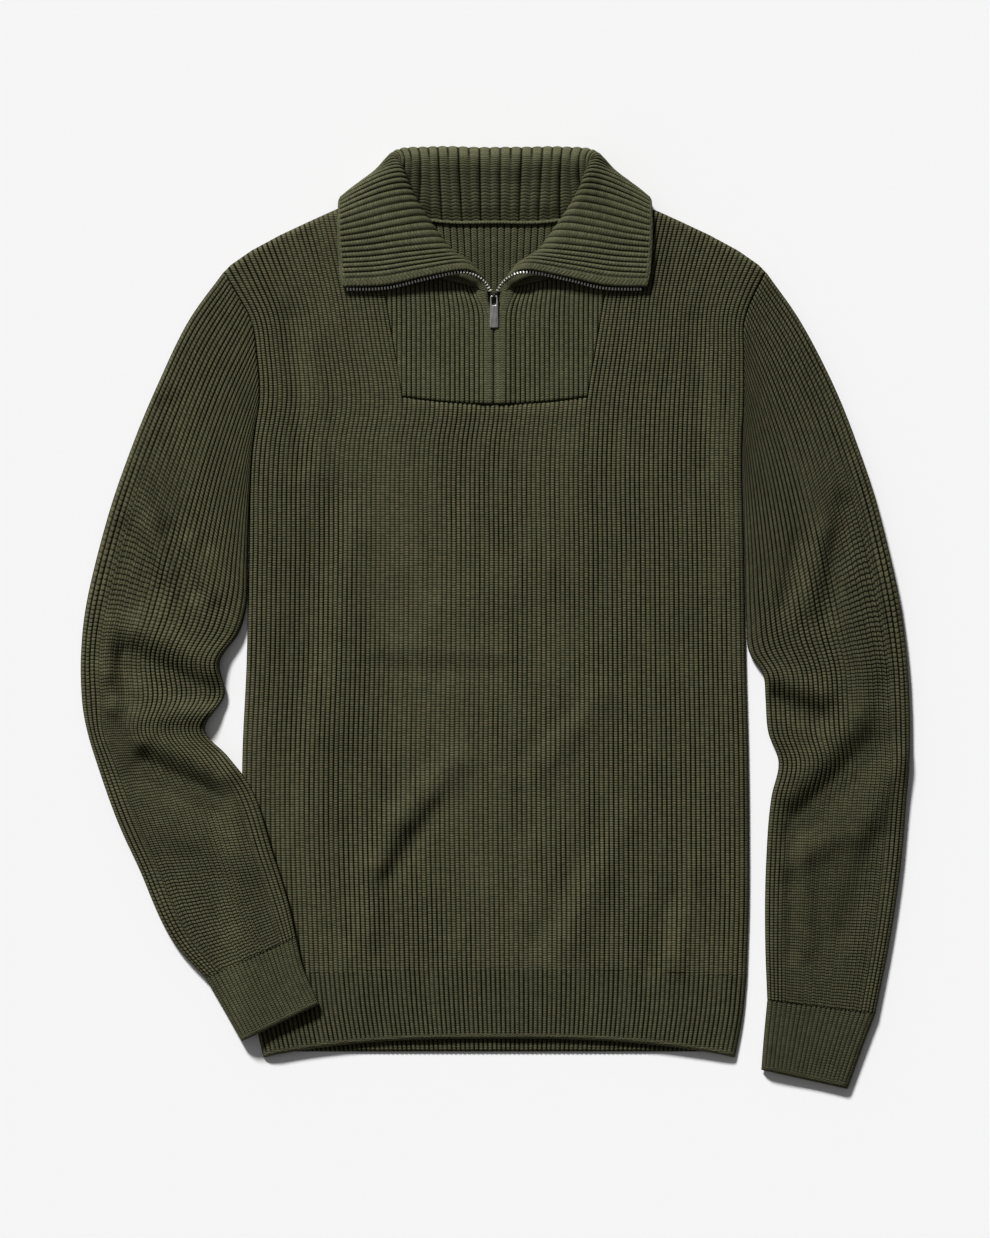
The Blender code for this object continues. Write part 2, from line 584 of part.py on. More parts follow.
def make_back():
    """The back panel: flat on the table, lifted at the neck by the collar's fall beneath it."""
    low, high = YOKE_RIBS
    table = body_rows()
    ribs = np.concatenate([np.linspace(0, low, 5), np.linspace(low, high, 9)[1:],
                           np.linspace(high, BODY_RIBS, 5)[1:]])
    plan = body_plan(ribs)
    plan[:, 0, 0] += BACK_INSET * table["inset"]
    plan[:, -1, 0] -= BACK_INSET * table["inset"]
    corner = (ribs == low) | (ribs == high)
    plan[-1, :, 1] -= np.where((ribs < low) | (ribs > high), BACK_INSET, 0.0)
    plan[-1, corner, 1] = back_neck(plan[-1, corner, 0])
    plan[-1, 0, 0] += BACK_INSET
    plan[-1, -1, 0] -= BACK_INSET
    return plain_wall("back", plan, neck_lift(plan[..., 0], plan[..., 1]))


def make_hem_back():
    """The back hem band: straight across, a little lower than the front's bow."""
    plan = hem_plan(np.linspace(0, BODY_RIBS, 22))
    plan[:, 0, 0] += BACK_INSET
    plan[:, -1, 0] -= BACK_INSET
    share = np.arange(len(plan)) / (len(plan) - 1)
    straight = HEM_ROWS[0][0] + share * (BACK_HEM_Y - HEM_ROWS[0][0])
    plan[1:, :, 1] = straight[1:, None]
    return plain_wall("hem_back", plan, np.zeros(plan.shape[:2]))


# ---- yoke -------------------------------------------------------------------------------------
def collar_half_table():
    ribs = np.array([row[0] for row in COLLAR_SECTIONS], float)
    points = np.array([row[1:] for row in COLLAR_SECTIONS], float)
    return ribs, points


def collar_centre(ribs, places):
    """The middle of the collar's cloth at rib numbers and places along a section."""
    half_ribs, half = collar_half_table()
    mirror = half[:-1][::-1] * np.array([-1, 1, 1])
    knots = np.concatenate([half_ribs, COLLAR_RIBS - half_ribs[:-1][::-1]])
    sections = through(knots, np.concatenate([half, mirror]), ribs)
    read = through(np.arange(len(COLLAR_PLACES)), sections.transpose(1, 0, 2), places)
    return read.transpose(1, 0, 2)


def neck_seam(x, first_rib, last_rib):
    """The neck seam's height at x, read from the collar's lower edge between two ribs."""
    seam = collar_centre(np.linspace(first_rib, last_rib, 80), [0.0])[:, 0]
    order = np.argsort(seam[:, 0])
    return np.interp(-np.abs(x), seam[order, 0], seam[order, 1])


def make_yoke(side, name):
    """Half of the yoke: vertical ribs cut by its slanted side, a plain strip along the zip."""
    outer_x = NECK_POINT[0] - YOKE_TIP
    edge_x = ZIP_STRIP + abs(ZIP_X)
    count = int((outer_x - edge_x) / YOKE_RIB)
    steps = np.concatenate([np.linspace(outer_x, edge_x, 2 * count + 1), [STRIP_MIDDLE, 0.0]])
    heights = np.concatenate([zigzag(count), [0.3, 0.0]])
    x = side * steps
    x[-2] += ZIP_X
    x[-1] = ZIP_X + side * ZIP_HALF
    foot = np.where(np.abs(x) < YOKE_FOOT_X, yoke_foot(x),
                    YOKE_FOOT_Y + (np.abs(x) - YOKE_FOOT_X) / (NECK_POINT[0] - YOKE_FOOT_X)
                    * (NECK_POINT[1] - YOKE_FOOT_Y))
    seam = neck_seam(x, 0, HPS_RIB) - NECK_SEAM
    plan = np.zeros((len(YOKE_ROWS), len(x), 2))
    for r, share in enumerate(YOKE_ROWS):
        plan[r, :, 0] = x
        plan[r, :, 1] = foot + share * (seam - foot)
    for column, apart in zip((-1, -2), STRIP_OPEN):
        plan[-2:, column, 0] = ZIP_X + side * np.array(apart)
    rise = ZIP_RISE * smooth((ZIP_RISE_X[0] - np.abs(plan[..., 0])) / (ZIP_RISE_X[0] - ZIP_RISE_X[1]))
    level = front_level(plan[..., 0], plan[..., 1]) + rise
    outer = np.concatenate([plan, (level + RIB_RISE * heights[None, :])[..., None]], -1)
    columns = np.unique(np.concatenate([np.linspace(0, 2 * count, 12).astype(int),
                                        [len(x) - 2, len(x) - 1]]))
    inner = np.concatenate([plan, (level - WALL)[..., None]], -1)[:, columns]
    cloth = Cloth()
    sides = []
    for grid in (outer, inner):
        ids = cloth.grid(grid)
        sides.append([ids[0, :], ids[:, -1], ids[-1, ::-1], ids[::-1, 0]])
    for outer_side, inner_side in zip(*sides):
        cloth.bridge(outer_side, inner_side)
    return cloth.finish(name, knit(name))


# ---- sleeves and cuffs ------------------------------------------------------------------------
def sleeve_plan(side, rows, share, start):
    """x and y of each sleeve row at the shares across it; start adds the armhole row."""
    across = np.asarray(share, float)
    hole = armhole(side, across)
    chord = hole[:1] + across[:, None] * (hole[-1:] - hole[:1])
    curve = hole - chord
    plan = []
    if start:
        first = hole.copy()
        clear = SEAM * (1.0 + (1.0 - across) ** 6)
        first[:, 0] += side * HOLE_CLEAR[0] * clear
        first[:, 1] -= HOLE_CLEAR[1] * clear
        plan.append(first)
    for outer_x, outer_y, inner_x, inner_y, bulge, _height in rows:
        ends = np.array([(outer_x, outer_y), (inner_x, inner_y)], float)
        line = ends[0] + across[:, None] * (ends[1] - ends[0])
        plan.append(line + bulge * curve)
    return np.array(plan)


def tube_under(side, x, y):
    """Underside of a sleeve: on the table, or up over the body where it crosses it."""
    if side > 0:
        return np.zeros_like(x)
    beside = body_edge(side, y) - x
    crossing = smooth((CLIMB_Y[0] - y) / (CLIMB_Y[0] - CLIMB_Y[1]))
    return OVER_BODY * smooth((CLIMB_RUN - beside) / (CLIMB_RUN - 2.0)) * crossing


def make_tube(name, side, rows, ribs, folds, start):
    """A flat ribbed tube: sleeve or cuff, open at both ends."""
    share = np.arange(2 * ribs + 1) / (2 * ribs)
    plan = sleeve_plan(side, rows, share, start)
    heights = np.array([row[5] for row in rows])
    if start:
        heights = np.concatenate([[2 * WALL + GAP + 0.3], heights])
    heights = heights[:, None]
    width = np.linalg.norm(plan[:, -1] - plan[:, 0], axis=-1)[:, None]
    under = tube_under(side, plan[..., 0], plan[..., 1])
    fade = np.ones(len(plan))
    if start:
        fade[:2] = (0.0, 0.6)
    lift = fold_rise(plan[..., 0], plan[..., 1], folds) * fade[:, None]

    def rounding(share_values, roll):
        edge = np.minimum(share_values, 1 - share_values) * width / roll
        return np.sqrt(np.clip(1 - np.clip(1 - edge, 0, 1) ** 2, 0, 1))

    round_off = rounding(share[None, :], EDGE_ROLL)
    level = heights * (EDGE_LEVEL + (1 - EDGE_LEVEL) * round_off) + lift * round_off
    upper = under + level + (RIB_RISE * (zigzag(ribs)[None, :] - 1)) * round_off
    top = np.concatenate([plan, upper[..., None]], -1)

    low_share = np.linspace(0.96, 0.04, 8 if side < 0 else 4)
    low_plan = np.stack([np.stack([np.interp(low_share, share, row[:, 0]),
                                   np.interp(low_share, share, row[:, 1])], -1) for row in plan])
    low_under = tube_under(side, low_plan[..., 0], low_plan[..., 1])
    bottom = np.concatenate([low_plan, low_under[..., None]], -1)
    outer = np.concatenate([top, bottom], 1)

    inset = (WALL + 0.5) / width
    mid = np.linspace(0, 1, 9)
    top_share = inset + mid[None, :] * (1 - 2 * inset)
    bottom_share = inset + np.linspace(0.94, 0.06, 5 if side < 0 else 2)[None, :] * (1 - 2 * inset)
    inner_rows = []
    for r, row in enumerate(plan):
        def at(values):
            return np.stack([np.interp(values, share, row[:, 0]), np.interp(values, share, row[:, 1])], -1)
        over = at(top_share[r])
        level_in = np.interp(top_share[r], share, (under + level)[r]) - WALL - RIB_RISE
        floor_in = tube_under(side, over[:, 0], over[:, 1]) + WALL
        level_in = np.maximum(level_in, floor_in + INSIDE_AIR)
        middle = 0.5 * (level_in + floor_in)
        level_in[0], level_in[-1] = middle[0], middle[-1]
        below = at(bottom_share[r])
        under_in = tube_under(side, below[:, 0], below[:, 1]) + WALL
        inner_rows.append(np.concatenate([np.column_stack([over, level_in]),
                                          np.column_stack([below, under_in])]))
    inner = np.array(inner_rows)
    cloth = Cloth()
    outer_ids = cloth.grid(outer, closed=True)
    inner_ids = cloth.grid(inner, closed=True)
    for row in (0, -1):
        cloth.bridge(np.append(outer_ids[row], outer_ids[row, 0]),
                     np.append(inner_ids[row], inner_ids[row, 0]))
    return cloth.finish(name, knit(name))


# ---- collar -----------------------------------------------------------------------------------
def collar_frame(ribs, places):
    """Centre points and the unit normal on the ribbed side."""
    ribs = np.asarray(ribs, float)
    places = np.asarray(places, float)
    step = 0.05
    centre = collar_centre(ribs, places)
    low, high = np.clip(ribs - step, 0, COLLAR_RIBS), np.clip(ribs + step, 0, COLLAR_RIBS)
    along = collar_centre(high, places) - collar_centre(low, places)
    last = len(COLLAR_PLACES) - 1
    down, up = np.clip(places - step, 0, last), np.clip(places + step, 0, last)
    across = collar_centre(ribs, up) - collar_centre(ribs, down)
    normal = np.cross(along, across)
    normal /= np.linalg.norm(normal, axis=-1, keepdims=True)
    return centre, normal


def make_collar():
    """The collar: one ribbed band that rises from the neck seam, folds over and falls."""
    ribs = np.arange(2 * COLLAR_RIBS + 1) / 2
    centre, normal = collar_frame(ribs, COLLAR_ROWS)
    plain = (ribs < COLLAR_PLAIN) | (ribs > COLLAR_RIBS - COLLAR_PLAIN)
    height = np.where(plain, 0.4, zigzag(COLLAR_RIBS))[:, None]
    height = height * smooth((centre[..., 2] - COLLAR_REST[0]) / (COLLAR_REST[1] - COLLAR_REST[0]))
    height = height * smooth(np.array(COLLAR_ROWS) / COLLAR_SEAM_PLAIN)
    outer = centre + normal * (WALL / 2 + RIB_RISE * height)[..., None]
    inner_ribs = np.linspace(0, COLLAR_RIBS, 30)
    centre_in, normal_in = collar_frame(inner_ribs, COLLAR_ROWS)
    inner = centre_in - normal_in * (WALL / 2)
    outer[..., 2] = np.maximum(outer[..., 2], 0.0)
    inner[..., 2] = np.maximum(inner[..., 2], 0.0)
    cloth = Cloth()
    sides = []
    for grid in (outer, inner):
        ids = cloth.grid(grid)
        sides.append([ids[0, :], ids[:, -1], ids[-1, ::-1], ids[::-1, 0]])
    for outer_side, inner_side in zip(*sides):
        cloth.bridge(outer_side, inner_side)
    return cloth.finish("collar", knit("collar"))


# ---- zip --------------------------------------------------------------------------------------
def make_tape(side, name):
    """A zip tape: behind the closed placket, then along the open collar's edge."""
    edge_rib = 0.0 if side < 0 else COLLAR_RIBS
    inward = 0.6 if side < 0 else -0.6
    places = np.array([TAPE_ENDS[0], *COLLAR_ROWS[1:-1], TAPE_ENDS[1]])
    centre, normal = collar_frame([edge_rib], places)
    centre, normal = centre[0], normal[0]
    into = collar_centre([edge_rib + inward], places)[0] - centre
    path = np.gradient(centre, axis=0)
    path /= np.linalg.norm(path, axis=-1, keepdims=True)
    into -= path * np.sum(into * path, axis=-1, keepdims=True)
    into /= np.linalg.norm(into, axis=-1, keepdims=True)
    rows = []
    tape_z = WALL + GAP + TAPE_THICK
    far = ZIP_X + side * (TAPE_OUT + TAPE_IN)
    for y, clear in TAPE_ROWS:
        near = ZIP_X + side * clear
        rows.append([(near, y, tape_z), (far, y, tape_z), (far, y, tape_z - TAPE_THICK),
                     (near, y, tape_z - TAPE_THICK)])
    # the tape leaves the inside, turns round the cloth's edge and ends up under the fall
    beside = WALL / 2 + GAP + TAPE_THICK / 2
    first, last = TAPE_TURN
    for step, (place, c, n, i) in enumerate(zip(places, centre, normal, into)):
        turned = smooth((place - first) / (last - first))
        middle = c + n * beside * (1 - 2 * turned)
        near = middle - i * (TAPE_OUT if step else TAPE_START)
        under = smooth((place - last) / (TAPE_SPREAD - last))
        far = middle + i * (TAPE_IN * under - TURN_CLEAR * (1 - under) if step else TAPE_START)
        half = n * TAPE_THICK / 2
        rows.append([near - half, far - half, far + half, near + half])
    cloth = Cloth()
    ids = cloth.grid(np.array(rows, float), closed=True)
    for end in (ids[0], ids[-1]):
        cloth.faces.append(tuple(int(k) for k in end))
    return cloth.finish(name, finish_material("zip tape " + name, TAPE_CLOTH, 0.9, 0.0))


def extrude_profile(name, outline, hole, width, x):
    """A closed profile with a hole in the YZ plane, thick along X about x."""
    work = bmesh.new()
    edges = []
    for loop in (outline, hole):
        points = [work.verts.new(((x - width / 2) * MM, y * MM, z * MM)) for y, z in loop]
        edges += [work.edges.new((a, b)) for a, b in zip(points, points[1:] + points[:1])]
    filled = bmesh.ops.triangle_fill(work, edges=edges, use_beauty=True)
    faces = [f for f in filled["geom"] if isinstance(f, bmesh.types.BMFace)]
    grown = bmesh.ops.extrude_face_region(work, geom=faces)
    moved = [v for v in grown["geom"] if isinstance(v, bmesh.types.BMVert)]
    bmesh.ops.translate(work, verts=moved, vec=(width * MM, 0, 0))
    bmesh.ops.recalc_face_normals(work, faces=work.faces)
    mesh = bpy.data.meshes.new(name)
    work.to_mesh(mesh)
    work.free()
    piece = bpy.data.objects.new(name, mesh)
    bpy.context.scene.collection.objects.link(piece)
    return piece


def make_slider():
    """The slider's body with its bail, the loop that holds the pull tab."""
    low, high = SLIDER_Z
    work = bmesh.new()
    points = [work.verts.new(((ZIP_X + share * SLIDER_HALF) * MM, (SLIDER_Y + dy) * MM, low * MM))
              for share, dy in SLIDER_PLAN]
    face = work.faces.new(points)
    grown = bmesh.ops.extrude_face_region(work, geom=[face])
    moved = [v for v in grown["geom"] if isinstance(v, bmesh.types.BMVert)]
    bmesh.ops.translate(work, verts=moved, vec=(0, 0, (high - low) * MM))
    bmesh.ops.recalc_face_normals(work, faces=work.faces)
    bmesh.ops.bevel(work, geom=list(work.edges), offset=SLIDER_BEVEL * MM, segments=2, affect="EDGES",
                    profile=0.5)
    mesh = bpy.data.meshes.new("zip_slider")
    work.to_mesh(mesh)
    work.free()
    slider = bpy.data.objects.new("zip_slider", mesh)
    bpy.context.scene.collection.objects.link(slider)
    profile, eye = [[(PIN_Y + dy, PIN_Z + dz) for dy, dz in loop] for loop in (BAIL_PROFILE, BAIL_EYE)]
    bail = extrude_profile("bail_shape", profile, eye, BAIL_WIDTH, ZIP_X)
    bail.hide_render = True
    bail.display_type = "WIRE"
    join = slider.modifiers.new("bail", "BOOLEAN")
    join.operation = "UNION"
    join.object = bail
    slider.data.materials.append(finish_material("dark metal slider", DARK_METAL, 0.35, 1.0))
    bail.data.materials.append(slider.data.materials[0])
    return slider


def make_pull():
    """The pull tab: a tapered plate with a slot, whose end bar passes through the bail."""
    slot_w, slot_l = PULL_SLOT
    reach = PULL_LENGTH
    bar = PIN_THICK / 2
    cut_x, cut_y = PULL_CORNER
    lines_y = [bar, -bar, -slot_l, cut_y - reach, -reach]
    work = bmesh.new()
    rows = []
    for y in lines_y:
        share = np.clip(-y / reach, 0, 1)
        half = 0.5 * (PULL_WIDTH[0] + share * (PULL_WIDTH[1] - PULL_WIDTH[0]))
        if y == lines_y[-1]:
            half -= cut_x
        rows.append([work.verts.new((dx * MM, y * MM, 0)) for dx in (-half, -slot_w / 2, slot_w / 2, half)])
    faces = []
    for r in range(len(rows) - 1):
        for c in range(3):
            if r == 1 and c == 1:
                continue
            faces.append(work.faces.new((rows[r][c], rows[r][c + 1], rows[r + 1][c + 1], rows[r + 1][c])))
    grown = bmesh.ops.extrude_face_region(work, geom=faces)
    moved = [v for v in grown["geom"] if isinstance(v, bmesh.types.BMVert)]
    bmesh.ops.translate(work, verts=moved, vec=(0, 0, PULL_THICK * MM))
    bmesh.ops.translate(work, verts=work.verts, vec=(0, 0, -PULL_THICK / 2 * MM))
    bmesh.ops.recalc_face_normals(work, faces=work.faces)
    mesh = bpy.data.meshes.new("zip_pull")
    work.to_mesh(mesh)
    work.free()
    pull = bpy.data.objects.new("zip_pull", mesh)
    pull.location = (ZIP_X * MM, PIN_Y * MM, PIN_Z * MM)
    pull.rotation_euler = (PULL_TILT, 0, 0)
    bpy.context.scene.collection.objects.link(pull)
    bevel = pull.modifiers.new("edges", "BEVEL")
    bevel.width = PULL_BEVEL * MM
    bevel.segments = 1
    bevel.limit_method = "ANGLE"
    mesh.materials.append(finish_material("brushed metal pull", BRUSHED_METAL, 0.38, 1.0))
    return pull


def main():
    for old in list(bpy.data.objects):
        bpy.data.objects.remove(old, do_unlink=True)
    make_front()
    make_back()
    make_hem_front()
    make_hem_back()
    make_yoke(-1, "yoke_left")
    make_yoke(1, "yoke_right")
    make_tube("sleeve_left", -1, LEFT_SLEEVE, SLEEVE_RIBS, LEFT_SLEEVE_FOLDS, True)
    make_tube("sleeve_right", 1, RIGHT_SLEEVE, SLEEVE_RIBS, RIGHT_SLEEVE_FOLDS, True)
    make_tube("cuff_left", -1, LEFT_CUFF, CUFF_RIBS, LEFT_SLEEVE_FOLDS, False)
    make_tube("cuff_right", 1, RIGHT_CUFF, CUFF_RIBS, RIGHT_SLEEVE_FOLDS, False)
    make_collar()
    make_tape(-1, "zip_tape_left")
    make_tape(1, "zip_tape_right")
    make_slider()
    make_pull()


main()
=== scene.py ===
"""The looks of a quarter zip sweater in olive rib knit, laid out flat on its back.

Tables are in millimetres: X to the right as it lies face up, Y towards the neck, Z up.
"""

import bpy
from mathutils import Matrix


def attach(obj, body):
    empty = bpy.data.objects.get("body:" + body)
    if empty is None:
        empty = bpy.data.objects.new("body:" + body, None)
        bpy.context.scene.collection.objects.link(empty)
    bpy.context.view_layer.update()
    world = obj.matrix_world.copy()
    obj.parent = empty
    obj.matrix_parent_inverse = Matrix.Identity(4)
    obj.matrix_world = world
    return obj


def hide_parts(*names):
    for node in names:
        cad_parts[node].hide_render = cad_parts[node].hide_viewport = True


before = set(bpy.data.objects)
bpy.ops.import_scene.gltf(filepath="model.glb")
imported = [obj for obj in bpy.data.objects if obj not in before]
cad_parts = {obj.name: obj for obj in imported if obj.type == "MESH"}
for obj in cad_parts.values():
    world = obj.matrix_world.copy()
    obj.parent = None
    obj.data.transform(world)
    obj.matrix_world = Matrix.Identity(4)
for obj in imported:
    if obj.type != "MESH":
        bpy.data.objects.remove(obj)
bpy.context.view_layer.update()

import math

import bmesh
import bpy
import numpy as np

MM = 0.001  # table units to metres

# ---- the cloth and its ribs
WALL = 2.3           # thickness of one layer of rib knit
RIB_RISE = 0.8       # how far a rib stands above its groove
GAP = 0.35           # clearance between sewn pieces and between layers
AIR = 1.2            # the front stands this much higher over the back, away from its sides
AIR_RUN = 14.0       # growing over this width from the side
NECK_EASE = 0.4      # further clearance where the collar lifts the layers
SEAM_GROOVE = 0.3    # width of a seam's groove
NECK_SEAM = 0.6      # clearance along the curved neck seam
SEWN_DEPTH = 0.9     # a sewn edge ends this far above the layer below it
SEAM_ROUND = 1.8     # how far from a seam the cloth begins to dip
ROLL_INSET = 2.6     # the rolled side edge: where its inner face stands
ROLL_RADIUS = 5.0    # how far from that edge the roll begins
ROLL_FOOT = 0.25     # how high over the table it ends
SIDE_RADIUS = 2.6    # how far from a side that is sewn to a sleeve the cloth bends down
INNER_FOOT = 0.2     # the height at which the roll's inner face ends
DEEPEST_FOLD = -2.6  # no fold of the front goes deeper
BACK_INSET = 3.4     # the back panel's edge inside that roll
BODY_RIBS = 105      # across the chest, 3.8 mm each
BACK_RIBS = 96       # across the back's inside, where the loops show wider
YOKE_RIBS = (31, 71)  # body ribs that end at the yoke's two lower corners
SLEEVE_RIBS = 30     # across a flat sleeve
CUFF_RIBS = 22       # across a flat cuff
YOKE_RIB = 3.76      # width of a yoke rib
COLLAR_RIBS = 71     # round the collar, from zip edge to zip edge
COURSE = 1.95        # height of a row of loops
SLEEVE_COURSE = 2.25  # and in the sleeves
FINE_COURSE = 1.9    # and in the bands, the yoke and the collar
BORDER = 4.2         # the plain, rounded edge of hem and cuffs
BORDER_RISE = 0.8    # its height as a share of a rib's

# ---- yoke and neck
YOKE_FOOT_X = 74.0   # the yoke's lower corners
YOKE_FOOT_Y = 178.0
YOKE_DIP = 6.0       # how far its lower seam sags between them
YOKE_TIP = 6.0       # its side stops this far short of the neck point
NECK_POINT = (100.0, 334.0)
SHOULDER_RISE = 56.0  # from the body's top row to the neck point
FALL_LIFT = 3.0      # how far the collar's fall lifts the neck,
LIFT_Y = (272.0, 300.0)      # growing between these heights
LIFT_X = (150.0, 126.0)      # and, from outside, between these distances from the middle
NECK_EASE_Y = (250.0, 265.0)  # the neck's clearance grows between these heights
ZIP_X = -0.8         # the zip's line
ZIP_STRIP = 8.0      # half the width of the plain strips over the closed zip
ZIP_RISE = 1.4       # how far the zip lifts them,
ZIP_RISE_X = (18.0, 10.0)    # growing between these distances from the middle
# points across a strip: distance from the middle, height in ribs
STRIP_PROFILE = [(7.6, 0.35), (6.6, 0.62), (5.2, 0.70), (3.8, 0.68), (2.4, 0.50), (1.4, 0.10), (0.7, -0.6),
                 (0.25, -1.9)]
SEAM_SINK = 2.4      # how far the yoke sinks at the neck seam, below the collar

# ---- the body's outline
BODY_COLUMNS = ("y", "left", "right", "arch", "inset")
BODY_ROWS = [
    (-281, -197.5, 201.5, 0.00, 1),
    (-230, -200.4, 203.3, 0.00, 1),
    (-175, -202.6, 203.5, 0.00, 1),
    (-110, -202.4, 202.9, 0.00, 1),
    (-35, -199.0, 201.0, 0.00, 1),
    (50, -197.3, 199.7, 0.00, 1),
    (140, -194.5, 198.3, 0.00, 1),
    (178, -188.6, 199.4, 0.00, 1),
    (210, -190.4, 199.4, 0.19, 0),
    (240, -195.6, 200.0, 0.45, 0),
    (260, -206.5, 207.5, 0.74, 0),
    (278, -217.2, 216.8, 1.00, 0),
]
# shares of the way from the shoulder tip to the neck point, and of the rise
SHOULDER_PROFILE = [(0, 0), (0.046, 0.10), (0.19, 0.31), (0.385, 0.53), (0.60, 0.74), (0.786, 0.91), (1, 1)]
HEM_ROWS = [(-281, -197.4, 201.5), (-316, -193.0, 198.4), (-351, -185.6, 192.4)]     # y, left, right
HEM_LINE = (-280.0, -6.0)    # height of the hem seam in the middle, and what it changes by at x = 200
HEM_BOW = 15.0       # the hem's lower edge is this much higher in the middle
BACK_HEM_Y = -346.5  # lower edge of the back's hem band

# ---- creases: x and y of both ends, half-width, height
FRONT_CREASES = [
    (-132, 92, -156, -32, 15, -2.6),
    (-156, -32, -165, -150, 14, -2.4),
    (-110, 70, -132, -90, 15, 2.6),
    (-92, -24, 6, -28, 10, 1.3),
    (-92, -39, 4, -42, 9, -1.1),
    (-30, -114, -76, -160, 12, 3.2),
    (-76, -160, -96, -200, 11, 3.2),
    (-96, -200, -99, -250, 10, 2.8),
    (-46, -152, -84, -206, 8, -2.6),
    (-120, -170, -124, -250, 11, -2.0),
    (86, -60, 40, -112, 13, 2.6),
    (62, -72, 22, -114, 10, -1.7),
    (20, -140, 30, -166, 10, -2.4),
    (84, -166, 34, -258, 11, -1.8),
    (106, -160, 60, -256, 13, 2.3),
    (140, -226, 124, -280, 10, -2.6),
    (162, -200, 146, -274, 10, 2.2),
    (128, 112, 150, 20, 18, 2.2),
    (-165, 242, -156, 124, 8, -2.6),
    (-147, 222, -138, 120, 9, 2.0),
    (160, 240, 168, 120, 8, -2.4),
    (40, 40, -10, 20, 20, 1.4),
    (-30, 110, -50, 30, 14, -1.4),
    (62, 130, 82, 40, 13, 1.4),
]
LEFT_CREASES = [
    (-307, -4, -310, -44, 8, 3.0),
    (-310, -44, -304, -70, 8, 3.4),
    (-304, -70, -286, -98, 7, 3.6),
    (-299, -24, -297, -60, 9, -1.8),
    (-324, -30, -319, -92, 8, -1.2),
    (-284, -8, -222, -38, 12, 6.0),
    (-292, -34, -228, -64, 10, -6.4),
    (-284, -80, -220, -74, 9, 4.2),
    (-256, -73, -222, -72, 2.2, 0.9),
    (-274, -96, -218, -124, 11, 6.4),
    (-280, -121, -226, -147, 11, -6.0),
    (-262, -166, -196, -194, 16, 3.0),
    (-300, 160, -262, 40, 10, 3.0),
    (-262, 170, -232, 60, 9, -3.6),
    (-262, 70, -242, 22, 7, -3.6),
    (-244, 62, -226, 18, 6, 3.2),
    (-294, 72, -270, 22, 8, -3.6),
    (-280, 76, -256, 24, 6, 3.0),
    (-300, -150, -262, -235, 14, 2.2),
    (-240, -190, -205, -240, 12, -1.8),
]
RIGHT_CREASES = [
    (222, -46, 264, -60, 9, 4.4),
    (222, -66, 258, -80, 8, -4.8),
    (289, -80, 236, -138, 13, 5.0),
    (306, -100, 246, -162, 13, -4.4),
    (312, -50, 306, -80, 9, -2.4),
    (326, -110, 292, -172, 11, 3.6),
    (270, -176, 236, -196, 10, 3.4),
    (236, -172, 237, -268, 6, -3.2),
    (248, -176, 250, -264, 7, 2.4),
    (262, 70, 248, 10, 9, 3.4),
    (242, 62, 232, 10, 7, -3.6),
    (300, 120, 322, 20, 10, 2.6),
    (280, 92, 266, 4, 8, -3.6),
    (306, -176, 280, -250, 12, -2.8),
]

# ---- sleeves: outer x and y, inner x and y, share of the armhole's curve, height
LEFT_SLEEVE = [
    (-247.0, 236.0, -196.3, 103.0, 0.55, 7.0),
    (-270.0, 188.0, -197.3, 72.0, 0.25, 8.0),
    (-290.0, 140.0, -197.9, 40.0, 0.08, 8.6),
    (-310.0, 82.0, -198.7, 12.0, 0.0, 8.6),
    (-326.5, 16.0, -205.0, -11.0, 0.0, 8.8),
    (-331.5, -28.5, -220.4, -35.0, 0.0, 9.0),
    (-330.8, -64.0, -216.4, -60.5, 0.0, 9.0),
    (-326.0, -92.0, -232.4, -89.0, 0.0, 9.0),
    (-318.5, -116.5, -214.0, -109.5, 0.0, 8.8),
    (-307.5, -148.5, -197.2, -131.0, 0.0, 8.6),
    (-286.5, -196.5, -177.0, -188.0, 0.0, 8.4),
    (-253.5, -264.0, -163.0, -235.0, 0.0, 8.4),
    (-231.8, -287.5, -159.0, -254.5, 0.0, 8.4),
]
LEFT_CUFF = [
    (-231.7, -287.7, -158.9, -254.7, 0.0, 8.0),
    (-218.0, -311.5, -153.0, -279.0, 0.0, 8.0),
    (-202.8, -338.0, -140.4, -308.0, 0.0, 7.6),
]
RIGHT_SLEEVE = [
    (246.0, 236.0, 199.2, 103.0, 0.55, 7.0),
    (270.8, 188.0, 199.6, 72.0, 0.25, 8.0),
    (290.0, 140.0, 200.4, 38.0, 0.08, 8.6),
    (309.0, 80.0, 201.2, -2.0, 0.0, 8.6),
    (325.0, 8.0, 204.0, -28.0, 0.0, 8.8),
    (330.2, -36.0, 214.8, -45.0, 0.0, 9.0),
    (331.8, -64.0, 216.6, -64.5, 0.0, 9.0),
    (332.4, -92.0, 218.8, -91.0, 0.0, 9.0),
    (331.8, -116.5, 227.0, -114.0, 0.0, 9.0),
    (329.5, -144.5, 221.4, -142.0, 0.0, 8.8),
    (325.0, -196.5, 217.0, -196.5, 0.0, 8.4),
    (315.0, -264.0, 216.4, -260.5, 0.0, 8.4),
    (304.6, -316.0, 218.0, -305.0, 0.0, 8.4),
]
RIGHT_CUFF = [
    (304.5, -316.2, 218.0, -305.2, 0.0, 8.0),
    (293.6, -345.0, 215.2, -335.0, 0.0, 8.0),
    (282.4, -376.4, 213.2, -361.0, 0.0, 7.6),
]
EDGE_ROLL = 6.0      # radius of the sleeves' rounded sides
EDGE_LEVEL = 0.45    # height at those sides, as a share of the sleeve's
OVER_BODY = 7.6      # the left sleeve climbs this high over the body,
CLIMB_X = (24.0, 2.0)        # growing between these distances from the body's side
CLIMB_Y = (-85.0, -115.0)    # and between these heights
INSIDE_AIR = 0.12    # smallest height of the space inside a sleeve

